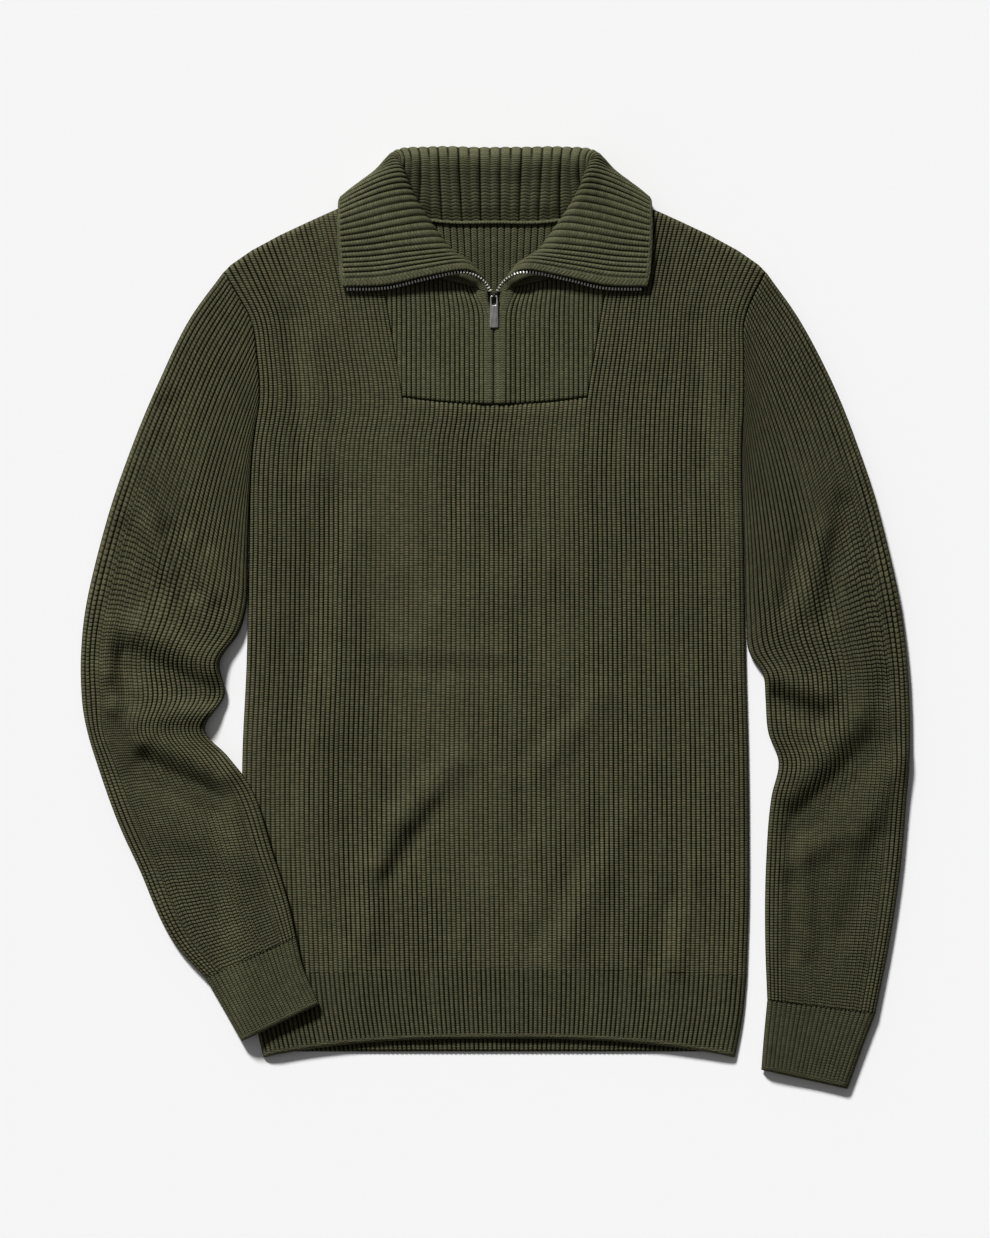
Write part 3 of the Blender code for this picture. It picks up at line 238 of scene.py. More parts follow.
# ---- collar: rib number, then the places seam, stand, fold, crest, fall, near the edge and edge
EDGE_PLACE = 6       # the last of these places, counted from the seam
COLLAR_SECTIONS = [
    (0, (-4.8, 263.6, 6.2), (-6.8, 267.0, 8.4), (-11, 272, 11.5), (-25, 277.2, 15.5),
     (-55.6, 271.6, 14), (-87.6, 264.4, 12), (-121.2, 263.6, 11)),
    (2, (-22.8, 267.6, 5.9), (-15.6, 274, 7.4), (-16.4, 280.4, 11), (-29.2, 284.4, 16),
     (-59.6, 279.6, 15), (-91.6, 274, 13), (-123.6, 272.4, 11.8)),
    (6, (-50.8, 274.8, 5.2), (-37.2, 287.6, 6.6), (-35.2, 294, 11), (-45.2, 295.6, 17),
     (-71.6, 293.2, 16), (-98, 290, 14), (-125.2, 288.4, 12.8)),
    (10.5, (-79.6, 290.8, 7.0), (-56.4, 310, 9.0), (-52.4, 316.4, 13.5), (-59.6, 319.6, 19),
     (-81.2, 316.4, 18), (-103.6, 311.6, 16.4), (-126, 307.6, 14.2)),
    (14.5, (-93.5, 312.0, 8.2), (-74, 330.8, 11), (-66, 337.2, 17), (-70.8, 341.2, 22),
     (-86.8, 338.8, 20), (-106.8, 332.4, 17), (-125.6, 324.4, 14)),
    (19, (-97.5, 327.5, 7.4), (-80.4, 346.8, 12.5), (-73.2, 354, 20), (-77.2, 359.6, 24.5),
     (-91.6, 355.6, 19), (-110, 345.6, 12), (-124.0, 335.5, 6.5)),
    (21, (-95.5, 329.5, 5.8), (-80, 350, 13.5), (-74.5, 359, 21.5), (-79.5, 364.5, 23.5),
     (-91.5, 359, 15), (-107, 348.5, 4.5), (-121, 335.0, 1.5)),
    (23, (-92, 330.5, 4.5), (-80.4, 351.6, 14), (-76.4, 363.6, 22), (-82, 368.6, 21),
     (-92, 360.4, 10), (-102.8, 348.6, 1.4), (-114, 324.0, 1.15)),
    (26, (-82, 326.0, 4.4), (-74, 348.4, 14.5), (-72, 366, 22.5), (-74.8, 372.6, 19),
     (-77.2, 373, 9), (-81.2, 362.8, 1.3), (-93.2, 319.0, 1.15)),
    (29, (-51.6, 320.0, 4.4), (-51.6, 346.8, 15), (-52.4, 367.6, 23), (-53.6, 374.4, 18),
     (-54, 374.6, 8), (-54, 363.6, 1.25), (-55.6, 314.8, 1.15)),
    (35.5, (0, 318.35, 4.4), (0, 346, 15), (0, 366.8, 23), (0, 374, 18),
     (0, 374, 8), (0, 362.8, 1.25), (0, 312.4, 1.15)),
]
HPS_RIB = 19         # the rib that meets the high point of the shoulder
COLLAR_PLAIN = 2.0   # ribs from the line of the teeth that stay plain
CLOTH_EDGE = 0.45    # ribs from the line of the teeth to the edge of the collar's cloth
COLLAR_REST = (1.2, 2.0)     # ribs grow between these heights, where the fall leaves the table
CLOSED_GROOVES = (2.4, 0.8)  # below this place every second groove closes up, within this much of it
COLLAR_BORDER = 5.87         # place where the plain border of the fall begins

# ---- zip
TAPE_OUT = 2.6       # width of the open tape that lies beside the teeth
TAPE_IN = 5.0        # its width where it has turned under the collar
TAPE_THICK = 0.8     # of the woven tape
TAPE_ENDS = (0.15, 5.93)     # places on the collar where the open tape starts and ends
TAPE_TURN = (0.9, 2.1)       # places between which it turns round the collar's edge
TAPE_SPREAD = 4.0            # and where it has its full width again
TAPE_SHOWN = 0.6     # of the open tape, what lies outside the middle of the teeth
TAPE_ROWS = [(173.0, 0.25), (215.0, 0.25), (244.6, 0.25), (251.1, 2.85)]     # y, distance from the middle
TAPE_CELL = 0.8      # length of a cell of its weave
# where the zip leaves the slider: place on the collar, distance from the zip line, y and height
ZIP_PATH = [
    (0.0, 2.4, 261.8, 7.6),
    (0.5, 5.7, 267.0, 8.8),
    (1.0, 9.2, 271.0, 10.4),
    (1.5, 12.6, 273.6, 12.0),
    (2.0, 17.2, 275.8, 13.6),
    (2.5, 23.0, 277.2, 14.8),
    (3.0, 30.0, 277.0, 15.4),
]
ZIP_BLEND = (2.6, 3.4)       # places between which it joins the collar's own edge
ROLL_FROM = 1.1      # from the line of the teeth to the rolled strip below them
# place on the collar, width of the rolled strip
ROLL_WIDTHS = [(0.1, 4.2), (0.6, 5.4), (1.2, 6.2), (1.8, 6.0), (2.4, 4.8), (3.0, 2.6), (3.5, 0.6)]
TOOTH_PITCH = 2.5    # between the zip's teeth, chosen so that they read as teeth
TOOTH = (2.3, 1.25, 2.0)     # across the tape, along it, and thick
CLOSED_TEETH_Y = (176.0, 252.0)      # where the closed zip's teeth start and end
SLIDER_Y = 257.0     # middle of the slider
SLIDER_Z = (4.2, 8.0)        # its underside and top
PLATE_THICK = (1.0, 1.1)     # its lower and upper shield
PIN_Y = 258.0        # the hinge of the pull tab
PIN_Z = 10.2
PIN_THICK = 1.1      # the tab's end bar
PULL_LENGTH = 25.0
PULL_WIDTH = (6.2, 7.2)      # at the hinge and at the end
PULL_THICK = 1.3
PULL_SLOT = (3.6, 7.0)       # width, and how far it reaches from the hinge
PULL_TILT = math.radians(3.5)        # it slopes down from the hinge
# ---- how fine the meshes are
PER_RIB = 6          # columns of a rib
ROW = 4.2            # length of a row of the mesh
FINE_ROW = 1.2       # and where the cloth rolls over


# ---- small mathematics
def smooth(value):
    """0 below 0, 1 above 1, and a soft step between."""
    t = np.clip(value, 0.0, 1.0)
    return t * t * (3.0 - 2.0 * t)


def ramp(value, start, end):
    """A soft step from 0 at start to 1 at end, which may be the lower one."""
    return smooth((value - start) / (end - start))


def round_over(distance, radius):
    """0 at a rolled edge, 1 from the radius inward, like a quarter circle."""
    return np.sqrt(np.clip(1.0 - np.clip(1.0 - distance / radius, 0.0, 1.0) ** 2, 0.0, 1.0))


def through(knots, rows, at):
    """A smooth curve through rows given at increasing knots, read at the values in at."""
    knots = np.asarray(knots, float)
    rows = np.asarray(rows, float)
    slopes = np.gradient(rows, knots, axis=0)
    at = np.asarray(at, float)
    i = np.clip(np.searchsorted(knots, at, side="right") - 1, 0, len(knots) - 2)
    span = knots[i + 1] - knots[i]
    t = (at - knots[i]) / span
    shape = t.shape + (1,) * (rows.ndim - 1)
    t = t.reshape(shape)
    span = span.reshape(shape)
    start = rows[i] * (1 + 2 * t) * (1 - t) ** 2 + slopes[i] * span * t * (1 - t) ** 2
    end = rows[i + 1] * t * t * (3 - 2 * t) - slopes[i + 1] * span * t * t * (1 - t)
    return start + end


def spaced(low, high, step):
    """Evenly spaced values from low to high, about a step apart."""
    return np.linspace(low, high, max(2, int(math.ceil(abs(high - low) / step)) + 1))


def stretches(ends, steps):
    """Spaced values through the given ends, each stretch between two of them with its own step."""
    parts = [spaced(*stretch) for stretch in zip(ends, ends[1:], steps)]
    return np.concatenate([part[k > 0:] for k, part in enumerate(parts)])


def fine_ribs(count):
    """Rib numbers of the fine columns over so many ribs."""
    return np.arange(PER_RIB * count + 1) / PER_RIB


def unit(vectors):
    """Vectors at a length of 1."""
    return vectors / np.linalg.norm(vectors, axis=-1, keepdims=True)


def distances(points):
    """How far along a line of points each one is."""
    return np.concatenate([[0], np.cumsum(np.linalg.norm(np.diff(points, axis=0), axis=1))])


def crease_rise(x, y, creases):
    """Height that soft ridges and troughs add at each point."""
    total = np.zeros_like(x, dtype=float)
    for x0, y0, x1, y1, spread, rise in creases:
        length2 = (x1 - x0) ** 2 + (y1 - y0) ** 2
        along = np.clip(((x - x0) * (x1 - x0) + (y - y0) * (y1 - y0)) / length2, 0, 1)
        off2 = (x - x0 - along * (x1 - x0)) ** 2 + (y - y0 - along * (y1 - y0)) ** 2
        total = total + rise * np.exp(-off2 / (spread * spread))
    return total


def drift(x, y):
    """Slow, uneven waves of cloth that lies loose, from -1 to 1."""
    return (np.sin(x / 23.0 + 1.3 * np.sin(y / 61.0)) * np.sin(y / 47.0 + 0.8 + 0.9 * np.sin(x / 39.0))
            + 0.6 * np.sin(x / 11.0 + y / 53.0 + 2.0 * np.sin(y / 83.0 + 1.0))) / 1.6


def rib_profile(rib):
    """0 in a groove, 1 on the crown of a rib: broad crowns and narrow grooves."""
    return np.abs(np.sin(np.pi * rib)) ** 0.75


def neck_lift(x, y):
    """How far the collar's fall, lying under the back neck, lifts the body."""
    return FALL_LIFT * ramp(y, *LIFT_Y) * ramp(np.abs(x), *LIFT_X)


# ---- mesh making
def link_object(name, data):
    """Put a new object with this data into the scene."""
    made = bpy.data.objects.new(name, data)
    bpy.context.scene.collection.objects.link(made)
    return made


def new_mesh(name, points, cells):
    """A mesh from points in millimetres and faces."""
    mesh = bpy.data.meshes.new(name)
    mesh.from_pydata((points * MM).tolist(), [], cells)
    return mesh


def finish_mesh(mesh, material, sharp):
    """Make the object of a mesh: turned outward, and smooth up to the sharp angle in degrees."""
    work = bmesh.new()
    work.from_mesh(mesh)
    bmesh.ops.recalc_face_normals(work, faces=work.faces)
    work.to_mesh(mesh)
    work.free()
    mesh.polygons.foreach_set("use_smooth", np.ones(len(mesh.polygons), bool))
    mesh.set_sharp_from_angle(angle=math.radians(sharp))
    mesh.materials.append(material)
    return link_object(mesh.name, mesh)
class Cloth:
    """Collects points, faces and knit coordinates (rib number, course number) of one piece."""

    def __init__(self):
        self.points = []
        self.knit = []
        self.depth = []
        self.cells = []
        self.cell_knit = []
        self.count = 0

    def add(self, points, rib, course, depth=1.0):
        """Add a grid of points (rows, columns, 3) and return their numbers.

        depth is 1 where the grooves between the ribs are open and carry their full painted shade, 0 where
        they are closed.
        """
        rib, course, depth = np.broadcast_arrays(rib, course, depth)
        ids = np.arange(self.count, self.count + points.shape[0] * points.shape[1])
        self.points.append(points.reshape(-1, 3))
        self.knit.append(np.stack([rib, course], -1).reshape(-1, 2))
        self.depth.append(np.broadcast_to(depth, points.shape[:2]).reshape(-1))
        self.count += len(ids)
        return ids.reshape(points.shape[:2])

    def skin(self, ids, wrap=None):
        """Faces between neighbouring rows; wrap closes a tube and is its last rib number."""
        knit = np.concatenate(self.knit)[np.maximum(ids, 0)]
        if wrap is not None:
            first = knit[:, :1].copy()
            first[..., 0] = wrap
            knit = np.concatenate([knit, first], 1)
            ids = np.concatenate([ids, ids[:, :1]], 1)
        corners = ((slice(None, -1), slice(None, -1)), (slice(None, -1), slice(1, None)),
                   (slice(1, None), slice(1, None)), (slice(1, None), slice(None, -1)))
        cells = np.stack([ids[c] for c in corners], -1).reshape(-1, 4)
        values = np.stack([knit[c] for c in corners], -2).reshape(-1, 4, 2)
        keep = (cells >= 0).all(1)
        self.cells.extend(cells[keep].tolist())
        self.cell_knit.append(values[keep].reshape(-1, 2))
    def layer(self, points, rib, course, depth=1.0, wrap=None):
        """Add a grid of points with the faces between them."""
        ids = self.add(points, rib, course, depth)
        self.skin(ids, wrap)
        return ids
    def bridge(self, first, second):
        """Triangles between two lines of points with different counts, by the shorter diagonal."""
        points = np.concatenate(self.points)
        knit = np.concatenate(self.knit)
        first, second = np.asarray(first, int), np.asarray(second, int)
        p, q = points[first], points[second]
        a, b = 0, 0
        made = []
        while a < len(first) - 1 or b < len(second) - 1:
            go_first = b == len(second) - 1
            if not go_first and a < len(first) - 1:
                one = p[a + 1] - q[b]
                two = p[a] - q[b + 1]
                go_first = one @ one <= two @ two
            if go_first:
                made.append((first[a], first[a + 1], second[b]))
                a += 1
            else:
                made.append((first[a], second[b + 1], second[b]))
                b += 1
        made = np.array(made)
        self.cells.extend(made.tolist())
        self.cell_knit.append(knit[made].reshape(-1, 2))

    def finish(self, name, material, sharp=75):
        """Make the object, with its knit coordinates."""
        mesh = new_mesh(name, np.concatenate(self.points), self.cells)
        layer = mesh.uv_layers.new(name="Knit")
        layer.data.foreach_set("uv", np.concatenate(self.cell_knit).astype(np.float32).ravel())
        groove = mesh.attributes.new("Groove", "FLOAT", "POINT")
        groove.data.foreach_set("value", np.concatenate(self.depth).astype(np.float32))
        return finish_mesh(mesh, material, sharp)


def rim(ids):
    """The four sides of a grid of point numbers, in order round it."""
    return [ids[0, :], ids[:, -1], ids[-1, ::-1], ids[::-1, 0]]


def closed_sheet(name, material, layers):
    """A sheet of cloth from its outer and its inner layer, closed all round.

    A layer is its grid of points, its rib and course numbers and, where not 1, its grooves' depth.
    """
    cloth = Cloth()
    outer_ids, inner_ids = [cloth.layer(*layer) for layer in layers]
    for outer_side, inner_side in zip(rim(outer_ids), rim(inner_ids)):
        cloth.bridge(outer_side, inner_side)
    return cloth.finish(name, material)


def closed_tube(name, material, rings, rib, course, wrap, depth=1.0, sharp=75):
    """A solid strand through rings of points, with a face at both ends."""
    cloth = Cloth()
    ids = cloth.layer(rings, rib, course, depth, wrap)
    for end in (ids[0], ids[-1]):
        cloth.cells.append([int(k) for k in end])
        cloth.cell_knit.append(np.zeros((len(end), 2)))
    return cloth.finish(name, material, sharp)


# ---- materials
def linear(code):
    """An sRGB hex colour as linear values with alpha."""
    parts = [int(code[i:i + 2], 16) / 255 for i in (1, 3, 5)]
    return (*[p / 12.92 if p <= 0.04045 else ((p + 0.055) / 1.055) ** 2.4 for p in parts], 1.0)


def join(tree, node, inputs):
    """Set a node's inputs, by place or name, to values or link them to sockets."""
    for key, value in inputs.items() if isinstance(inputs, dict) else enumerate(inputs):
        if isinstance(value, bpy.types.NodeSocket):
            tree.links.new(value, node.inputs[key])
        else:
            node.inputs[key].default_value = value


def add(tree, kind, inputs=(), out=0, **settings):
    """Add a node with its inputs and settings, and return one of its outputs."""
    made = tree.nodes.new("ShaderNode" + kind)
    for key, value in settings.items():
        setattr(made, key, value)
    join(tree, made, inputs)
    return made.outputs[out]


def new_material(name):
    """A material with its node tree and its shader."""
    material = bpy.data.materials.new(name)
    material.use_nodes = True
    tree = material.node_tree
    return material, tree, tree.nodes["Principled BSDF"]


GREEN_YARN = "#535741"
BROWN_YARN = "#5a543f"
# painted shade: the colour that the grooves between the ribs take, standing in for the shade that falls into
# them
PAINTED_GROOVE_SHADE = "#0e0d02"


def cotton_rib(name, groove, slant, loop_depth, loop_dark, spine_dark, brown=1.0, shade=1.0, grid=0.0):
    """Spun cotton in rib knit: matt, softly hairy yarn in columns of V loops, with painted shade in the
    grooves.

    groove is where a groove's painted shade starts (0 on a rib's crown, 0.5 in the groove) and is full.
    slant leans the legs of each V, loop_depth raises the loops in millimetres, loop_dark sets the painted
    shade in the rows between them and spine_dark in the line where the legs meet. brown is the share of
    brown fibres, and shade how light the yarn is drawn; the right sleeve and right cuff are drawn darker
    than the left ones as painted shade for the side away from the light, and the hem as painted shade in
    its deep grooves. grid adds painted shade to the rows and spines where the ribs close up, so that a
    fine grid of loops takes the place of the grooves.
    """
    material, tree, shader = new_material(name)
    knit = add(tree, "UVMap", uv_map="Knit")
    rib = add(tree, "SeparateXYZ", (knit,))
    course = rib.node.outputs[1]
    number = add(tree, "Math", (rib,), operation="FLOOR")
    place = add(tree, "Math", (rib,), operation="FRACT")
    middle = add(tree, "Math", (place, 0.5), operation="SUBTRACT")
    side = add(tree, "Math", (middle,), operation="ABSOLUTE")
    # the loops of neighbouring ribs aren't level
    uneven = add(tree, "TexWhiteNoise", {"W": number}, noise_dimensions="1D")
    level = add(tree, "Math", (uneven, 0.35, course), operation="MULTIPLY_ADD")
    lean = add(tree, "Math", (side, slant, level), operation="MULTIPLY_ADD")
    wave = add(tree, "Math", (lean, 0.5), operation="PINGPONG")
    plump = add(tree, "MapRange", (wave, 0.0, 0.32, 0.0, 1.0), interpolation_type="SMOOTHSTEP")
    legs = add(tree, "MapRange", (side, 0.0, 0.15, 0.0, 1.0), interpolation_type="SMOOTHSTEP")
    # deep marks where a rib's side turns into its groove, which is where the painted groove shade falls
    deep = add(tree, "MapRange", (side, *groove, 0.0, 1.0), interpolation_type="SMOOTHSTEP")
    opened = add(tree, "Attribute", out="Fac", attribute_name="Groove")
    closed = add(tree, "Math", (1.0, opened), operation="SUBTRACT", use_clamp=True)

    # the painted groove shade is a little stronger or weaker from rib to rib, as some ribs lie more open
    # than others, each for a few centimetres at a time
    stretch = add(tree, "VectorMath", (knit, (0.55, 0.035, 0.0)), operation="MULTIPLY")
    streak = add(tree, "TexNoise", {"Vector": stretch, "Scale": 1.0, "Detail": 2.0})
    # each loop of spun yarn takes the dye a little differently
    row = add(tree, "Math", (lean,), operation="FLOOR")
    loop = add(tree, "CombineXYZ", (number, row))
    each = add(tree, "TexWhiteNoise", {"Vector": loop}, noise_dimensions="2D")
    there = add(tree, "TexCoord", out="Object")
    # heather of the blend in patches of 30 mm; fibres drawn at 1.2 mm, four times as coarse as real
    patch = add(tree, "TexNoise", {"Vector": there, "Scale": 33.0, "Detail": 2.0})
    fibre = add(tree, "TexNoise", {"Vector": there, "Scale": 800.0, "Detail": 1.0})

    # painted shade between the loops: in the rows between them and in the spine where the legs meet, more
    # where the ribs close up
    rows = add(tree, "Math", (closed, grid, loop_dark), operation="MULTIPLY_ADD")
    between = add(tree, "Math", (1.0, plump), operation="SUBTRACT")
    shade_between = add(tree, "Math", (between, rows), operation="MULTIPLY")
    loops = add(tree, "Math", (1.0, shade_between), operation="SUBTRACT")
    cleft = add(tree, "Math", (closed, 1.5 * grid, spine_dark), operation="MULTIPLY_ADD")
    centre = add(tree, "Math", (1.0, legs), operation="SUBTRACT")
    shade_centre = add(tree, "Math", (centre, cleft), operation="MULTIPLY")
    spine = add(tree, "Math", (1.0, shade_centre), operation="SUBTRACT")
    # shade scales the yarn lighter or darker; on the right sleeve and cuff and on the hem its low value is
    # painted shade
    tone = add(tree, "MapRange", (each, 0.0, 1.0, 0.86 * shade, 1.14 * shade))
    for factor in (loops, spine,
                   add(tree, "MapRange", (patch, 0.3, 0.7, 0.94, 1.06)),
                   add(tree, "MapRange", (fibre, 0.25, 0.75, 0.84, 1.16))):
        tone = add(tree, "Math", (tone, factor), operation="MULTIPLY")
    mixed = add(tree, "MapRange", (fibre, 0.4, 0.6, 0.0, brown))
    yarn = add(tree, "Mix", {0: mixed, 6: linear(GREEN_YARN), 7: linear(BROWN_YARN)}, 2, data_type="RGBA")
    # painted shade: the grooves take the dark groove colour where they lie open
    dark = add(tree, "MapRange", (streak, 0.3, 0.7, 0.75, 1.15))
    for factor in (opened, deep):
        dark = add(tree, "Math", (dark, factor), operation="MULTIPLY", use_clamp=True)
    base = add(tree, "Mix", {0: dark, 6: yarn, 7: linear(PAINTED_GROOVE_SHADE)}, 2, data_type="RGBA")
    colour = add(tree, "VectorMath", {0: base, "Scale": tone}, operation="SCALE")

    relief = add(tree, "Math", (plump, spine), operation="MULTIPLY")
    relief = add(tree, "Math", (fibre, 0.3, relief), operation="MULTIPLY_ADD")
    bump = add(tree, "Bump", {"Strength": 0.9, "Distance": loop_depth * MM, "Height": relief})
    join(tree, shader, {"Base Color": colour, "Normal": bump, "Roughness": 0.88, "Specular IOR Level": 0.04,
                        "Sheen Weight": 0.05, "Sheen Roughness": 0.5, "Sheen Tint": linear("#8f8c48")})
    return material


# where a groove's painted shade starts and is full, then slant, depth of the loops and both painted shades
# between the loops
SLEEVE_LOOPS = ((0.20, 0.42), 0.25, 0.6, 0.30, 0.16)
CUFF_LOOPS = ((0.24, 0.46), 0.9, 0.35, 0.4, 0.15)
BODY_KNIT = cotton_rib("open cotton rib", (0.19, 0.42), 0.25, 0.55, 0.32, 0.12, shade=0.99)
LEFT_KNIT = cotton_rib("open cotton rib, left sleeve", *SLEEVE_LOOPS, grid=0.78)
# the right sleeve is drawn darker than the left: painted shade for the side away from the light
RIGHT_KNIT = cotton_rib("open cotton rib, right sleeve", *SLEEVE_LOOPS, shade=0.82, grid=0.78)
# the hem band is drawn darker: painted shade in its deep grooves
HEM_KNIT = cotton_rib("tight cotton rib", (0.16, 0.42), 0.9, 0.35, 0.14, 0.10, brown=0.8, shade=0.82)
LEFT_CUFF_KNIT = cotton_rib("tight cotton rib, left cuff", *CUFF_LOOPS, brown=0.75, shade=0.87)
# the right cuff is drawn darker than the left: painted shade for the side away from the light
RIGHT_CUFF_KNIT = cotton_rib("tight cotton rib, right cuff", *CUFF_LOOPS, brown=0.75, shade=0.64)
YOKE_KNIT = cotton_rib("full cotton rib, yoke", (0.24, 0.43), 0.9, 0.35, 0.2, 0.08, brown=0.7)
COLLAR_KNIT = cotton_rib("full cotton rib", (0.30, 0.49), 0.9, 0.35, 0.16, 0.05, brown=0.7, shade=1.03)
INSIDE_KNIT = cotton_rib("cotton rib, inside", (0.32, 0.47), 1.7, 0.7, 0.42, 0.25, brown=0.7, shade=0.95)


def woven_tape(name):
    """Woven polyester zip tape: a fine dark herringbone with a slight gloss."""
    material, tree, shader = new_material(name)
    knit = add(tree, "UVMap", uv_map="Knit")
    width = add(tree, "SeparateXYZ", (knit,))
    across = add(tree, "Math", (width, 1.0), operation="PINGPONG")
    line = add(tree, "Math", (across, width.node.outputs[1]), operation="ADD")
    thread = add(tree, "Math", (line, 0.5), operation="PINGPONG")
    ramp = add(tree, "MapRange", (thread, 0.05, 0.45, 0.55, 1.25))
    colour = add(tree, "VectorMath", {0: linear("#0f0f0e")[:3], "Scale": ramp}, operation="SCALE")
    bump = add(tree, "Bump", {"Strength": 0.7, "Distance": 0.2 * MM, "Height": thread})
    join(tree, shader, {"Base Color": colour, "Normal": bump, "Roughness": 0.8, "Specular IOR Level": 0.1})
    return material


def brushed_metal(name, colour, rough, scratch, along):
    """Plated zinc: fine brush lines along one way, each a little lighter or duller."""
    material, tree, shader = new_material(name)
    there = add(tree, "TexCoord", out="Object")
    run = add(tree, "VectorMath", {0: there, 1: along}, operation="MULTIPLY")
    # brush lines of 0.15 mm, drawn three times as wide as real
    lines = add(tree, "TexNoise", {"Vector": run, "Scale": 1.0, "Detail": 3.0})
    tone = add(tree, "MapRange", (lines, 0.3, 0.7, 1.0 - scratch, 1.0 + scratch))
    base = add(tree, "VectorMath", {0: linear(colour)[:3], "Scale": tone}, operation="SCALE")
    dull = add(tree, "MapRange", (lines, 0.3, 0.7, rough - 0.08, rough + 0.10))
    bump = add(tree, "Bump", {"Strength": 0.25, "Distance": 0.05 * MM, "Height": lines})
    join(tree, shader, {"Base Color": base, "Roughness": dull, "Normal": bump, "Metallic": 1.0})
    return material


TAPE_WEAVE = woven_tape("woven polyester tape")
TOOTH_METAL = brushed_metal("antique nickel teeth", "#e2e1d8", 0.62, 0.25, (900.0, 900.0, 900.0))
SLIDER_METAL = brushed_metal("gunmetal zinc", "#3a3a38", 0.34, 0.12, (600.0, 600.0, 600.0))
PULL_METAL = brushed_metal("brushed zinc", "#cbcac4", 0.38, 0.16, (2200.0, 60.0, 2200.0))


def dress(piece, node, body="root"):
    """Attach a finished piece to the body it moves with, and hide the CAD part it takes the place of."""
    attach(piece, body)
    if node:
        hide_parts(node)


# ---- the body's surface
BODY = {name: np.array(values, float) for name, values in zip(BODY_COLUMNS, zip(*BODY_ROWS))}
HALF_RIBS = np.array([row[0] for row in COLLAR_SECTIONS], float)
HALF_COLLAR = np.array([row[1:] for row in COLLAR_SECTIONS], float)
ALL_RIBS = np.concatenate([HALF_RIBS, COLLAR_RIBS - HALF_RIBS[:-1][::-1]])
WHOLE_COLLAR = np.concatenate([HALF_COLLAR, HALF_COLLAR[:-1][::-1] * np.array([-1, 1, 1])])


def shoulder_rise(along):
    """Height of the shoulder line over its tip at shares of the way to the neck point."""
    steps, rises = zip(*SHOULDER_PROFILE)
    return SHOULDER_RISE * np.interp(along, steps, rises)


def hem_line(x):
    """y of the seam between panel and hem band."""
    return HEM_LINE[0] + HEM_LINE[1] * (x / 200.0) ** 2


def collar_centre(ribs, places):
    """The middle of the collar's cloth at rib numbers and places along a section."""
    sections = through(ALL_RIBS, WHOLE_COLLAR, ribs)
    read = through(np.arange(EDGE_PLACE + 1), sections.transpose(1, 0, 2), places)
    return read.transpose(1, 0, 2)


def neck_seam(x, first_rib, last_rib):
    """y of the cloth's edge at the neck seam, read from the collar between two ribs."""
    seam = collar_centre(np.linspace(first_rib, last_rib, 80), [0.0])[:, 0]
    order = np.argsort(seam[:, 0])
    return np.interp(-np.abs(x), seam[order, 0], seam[order, 1]) - NECK_SEAM


def yoke_foot(x):
    """y of the yoke's lower seam."""
    return YOKE_FOOT_Y - YOKE_DIP * (1 - np.clip(np.abs(x) / YOKE_FOOT_X, 0, 1) ** 2)


def yoke_side(y):
    """x of the yoke's slanted side."""
    share = (y - YOKE_FOOT_Y) / (NECK_POINT[1] - YOKE_FOOT_Y)
    return YOKE_FOOT_X + share * (NECK_POINT[0] - YOKE_FOOT_X)


def body_plan(ribs):
    """x and y of the body's table rows at the given rib numbers, over the yoke too."""
    low, high = YOKE_RIBS
    rib = np.asarray(ribs, float)
    body = np.zeros((len(BODY["y"]), len(rib), 2))
    for r, y in enumerate(BODY["y"]):
        left, right, arch = BODY["left"][r], BODY["right"][r], BODY["arch"][r]
        side_y = y + arch * SHOULDER_RISE
        inner = yoke_side(side_y)
        x = np.interp(rib, (0, low, high, BODY_RIBS), (left, -inner, inner, right))
        if y < YOKE_FOOT_Y:
            x = left + rib / BODY_RIBS * (right - left)
        along = np.clip(np.minimum(rib / low, (BODY_RIBS - rib) / (BODY_RIBS - high)), 0, 1)
        rows_y = y + arch * shoulder_rise(along)
        if y >= YOKE_FOOT_Y:
            share = (side_y - YOKE_FOOT_Y) / (NECK_POINT[1] - YOKE_FOOT_Y)
            back_neck = neck_seam(x, HPS_RIB, COLLAR_RIBS / 2)
            over = yoke_foot(x) + share * (back_neck - yoke_foot(x))
            rows_y = np.where((rib > low) & (rib < high), over, rows_y)
        body[r, :, 0] = x
        body[r, :, 1] = rows_y
    body[0, :, 1] = hem_line(body[0, :, 0])
    return body


def body_edge(side, y):
    """The body's side edge at a height."""
    band = np.array(HEM_ROWS[:0:-1], float)
    heights = np.concatenate([band[:, 0], BODY["y"]])
    edges = np.concatenate([band[:, 1 if side < 0 else 2], BODY["left" if side < 0 else "right"]])
    return np.interp(y, heights, edges)


def front_level(x, y):
    """Height of the front's grooves above the table."""
    inside = np.minimum(x - body_edge(-1, y), body_edge(1, y) - x)
    air = AIR * smooth(inside / AIR_RUN)
    ease = NECK_EASE * ramp(y, *NECK_EASE_Y) * ramp(np.abs(x), *LIFT_X)
    folds = crease_rise(x, y, FRONT_CREASES) + 0.35 * drift(x, y)
    folds = np.maximum(folds, DEEPEST_FOLD) * smooth(inside / AIR_RUN)
    return WALL + GAP + WALL + neck_lift(x, y) + ease + air + folds


def armhole(side, share):
    """A point on the armhole, from the shoulder tip (0) to the underarm (1)."""
    heights = BODY["y"][BODY["y"] >= 140][::-1]
    y = np.interp(share, np.linspace(0, 1, len(heights)), heights)
    x = through(BODY["y"], BODY["left" if side < 0 else "right"], y)
    return np.stack([x, y], -1)


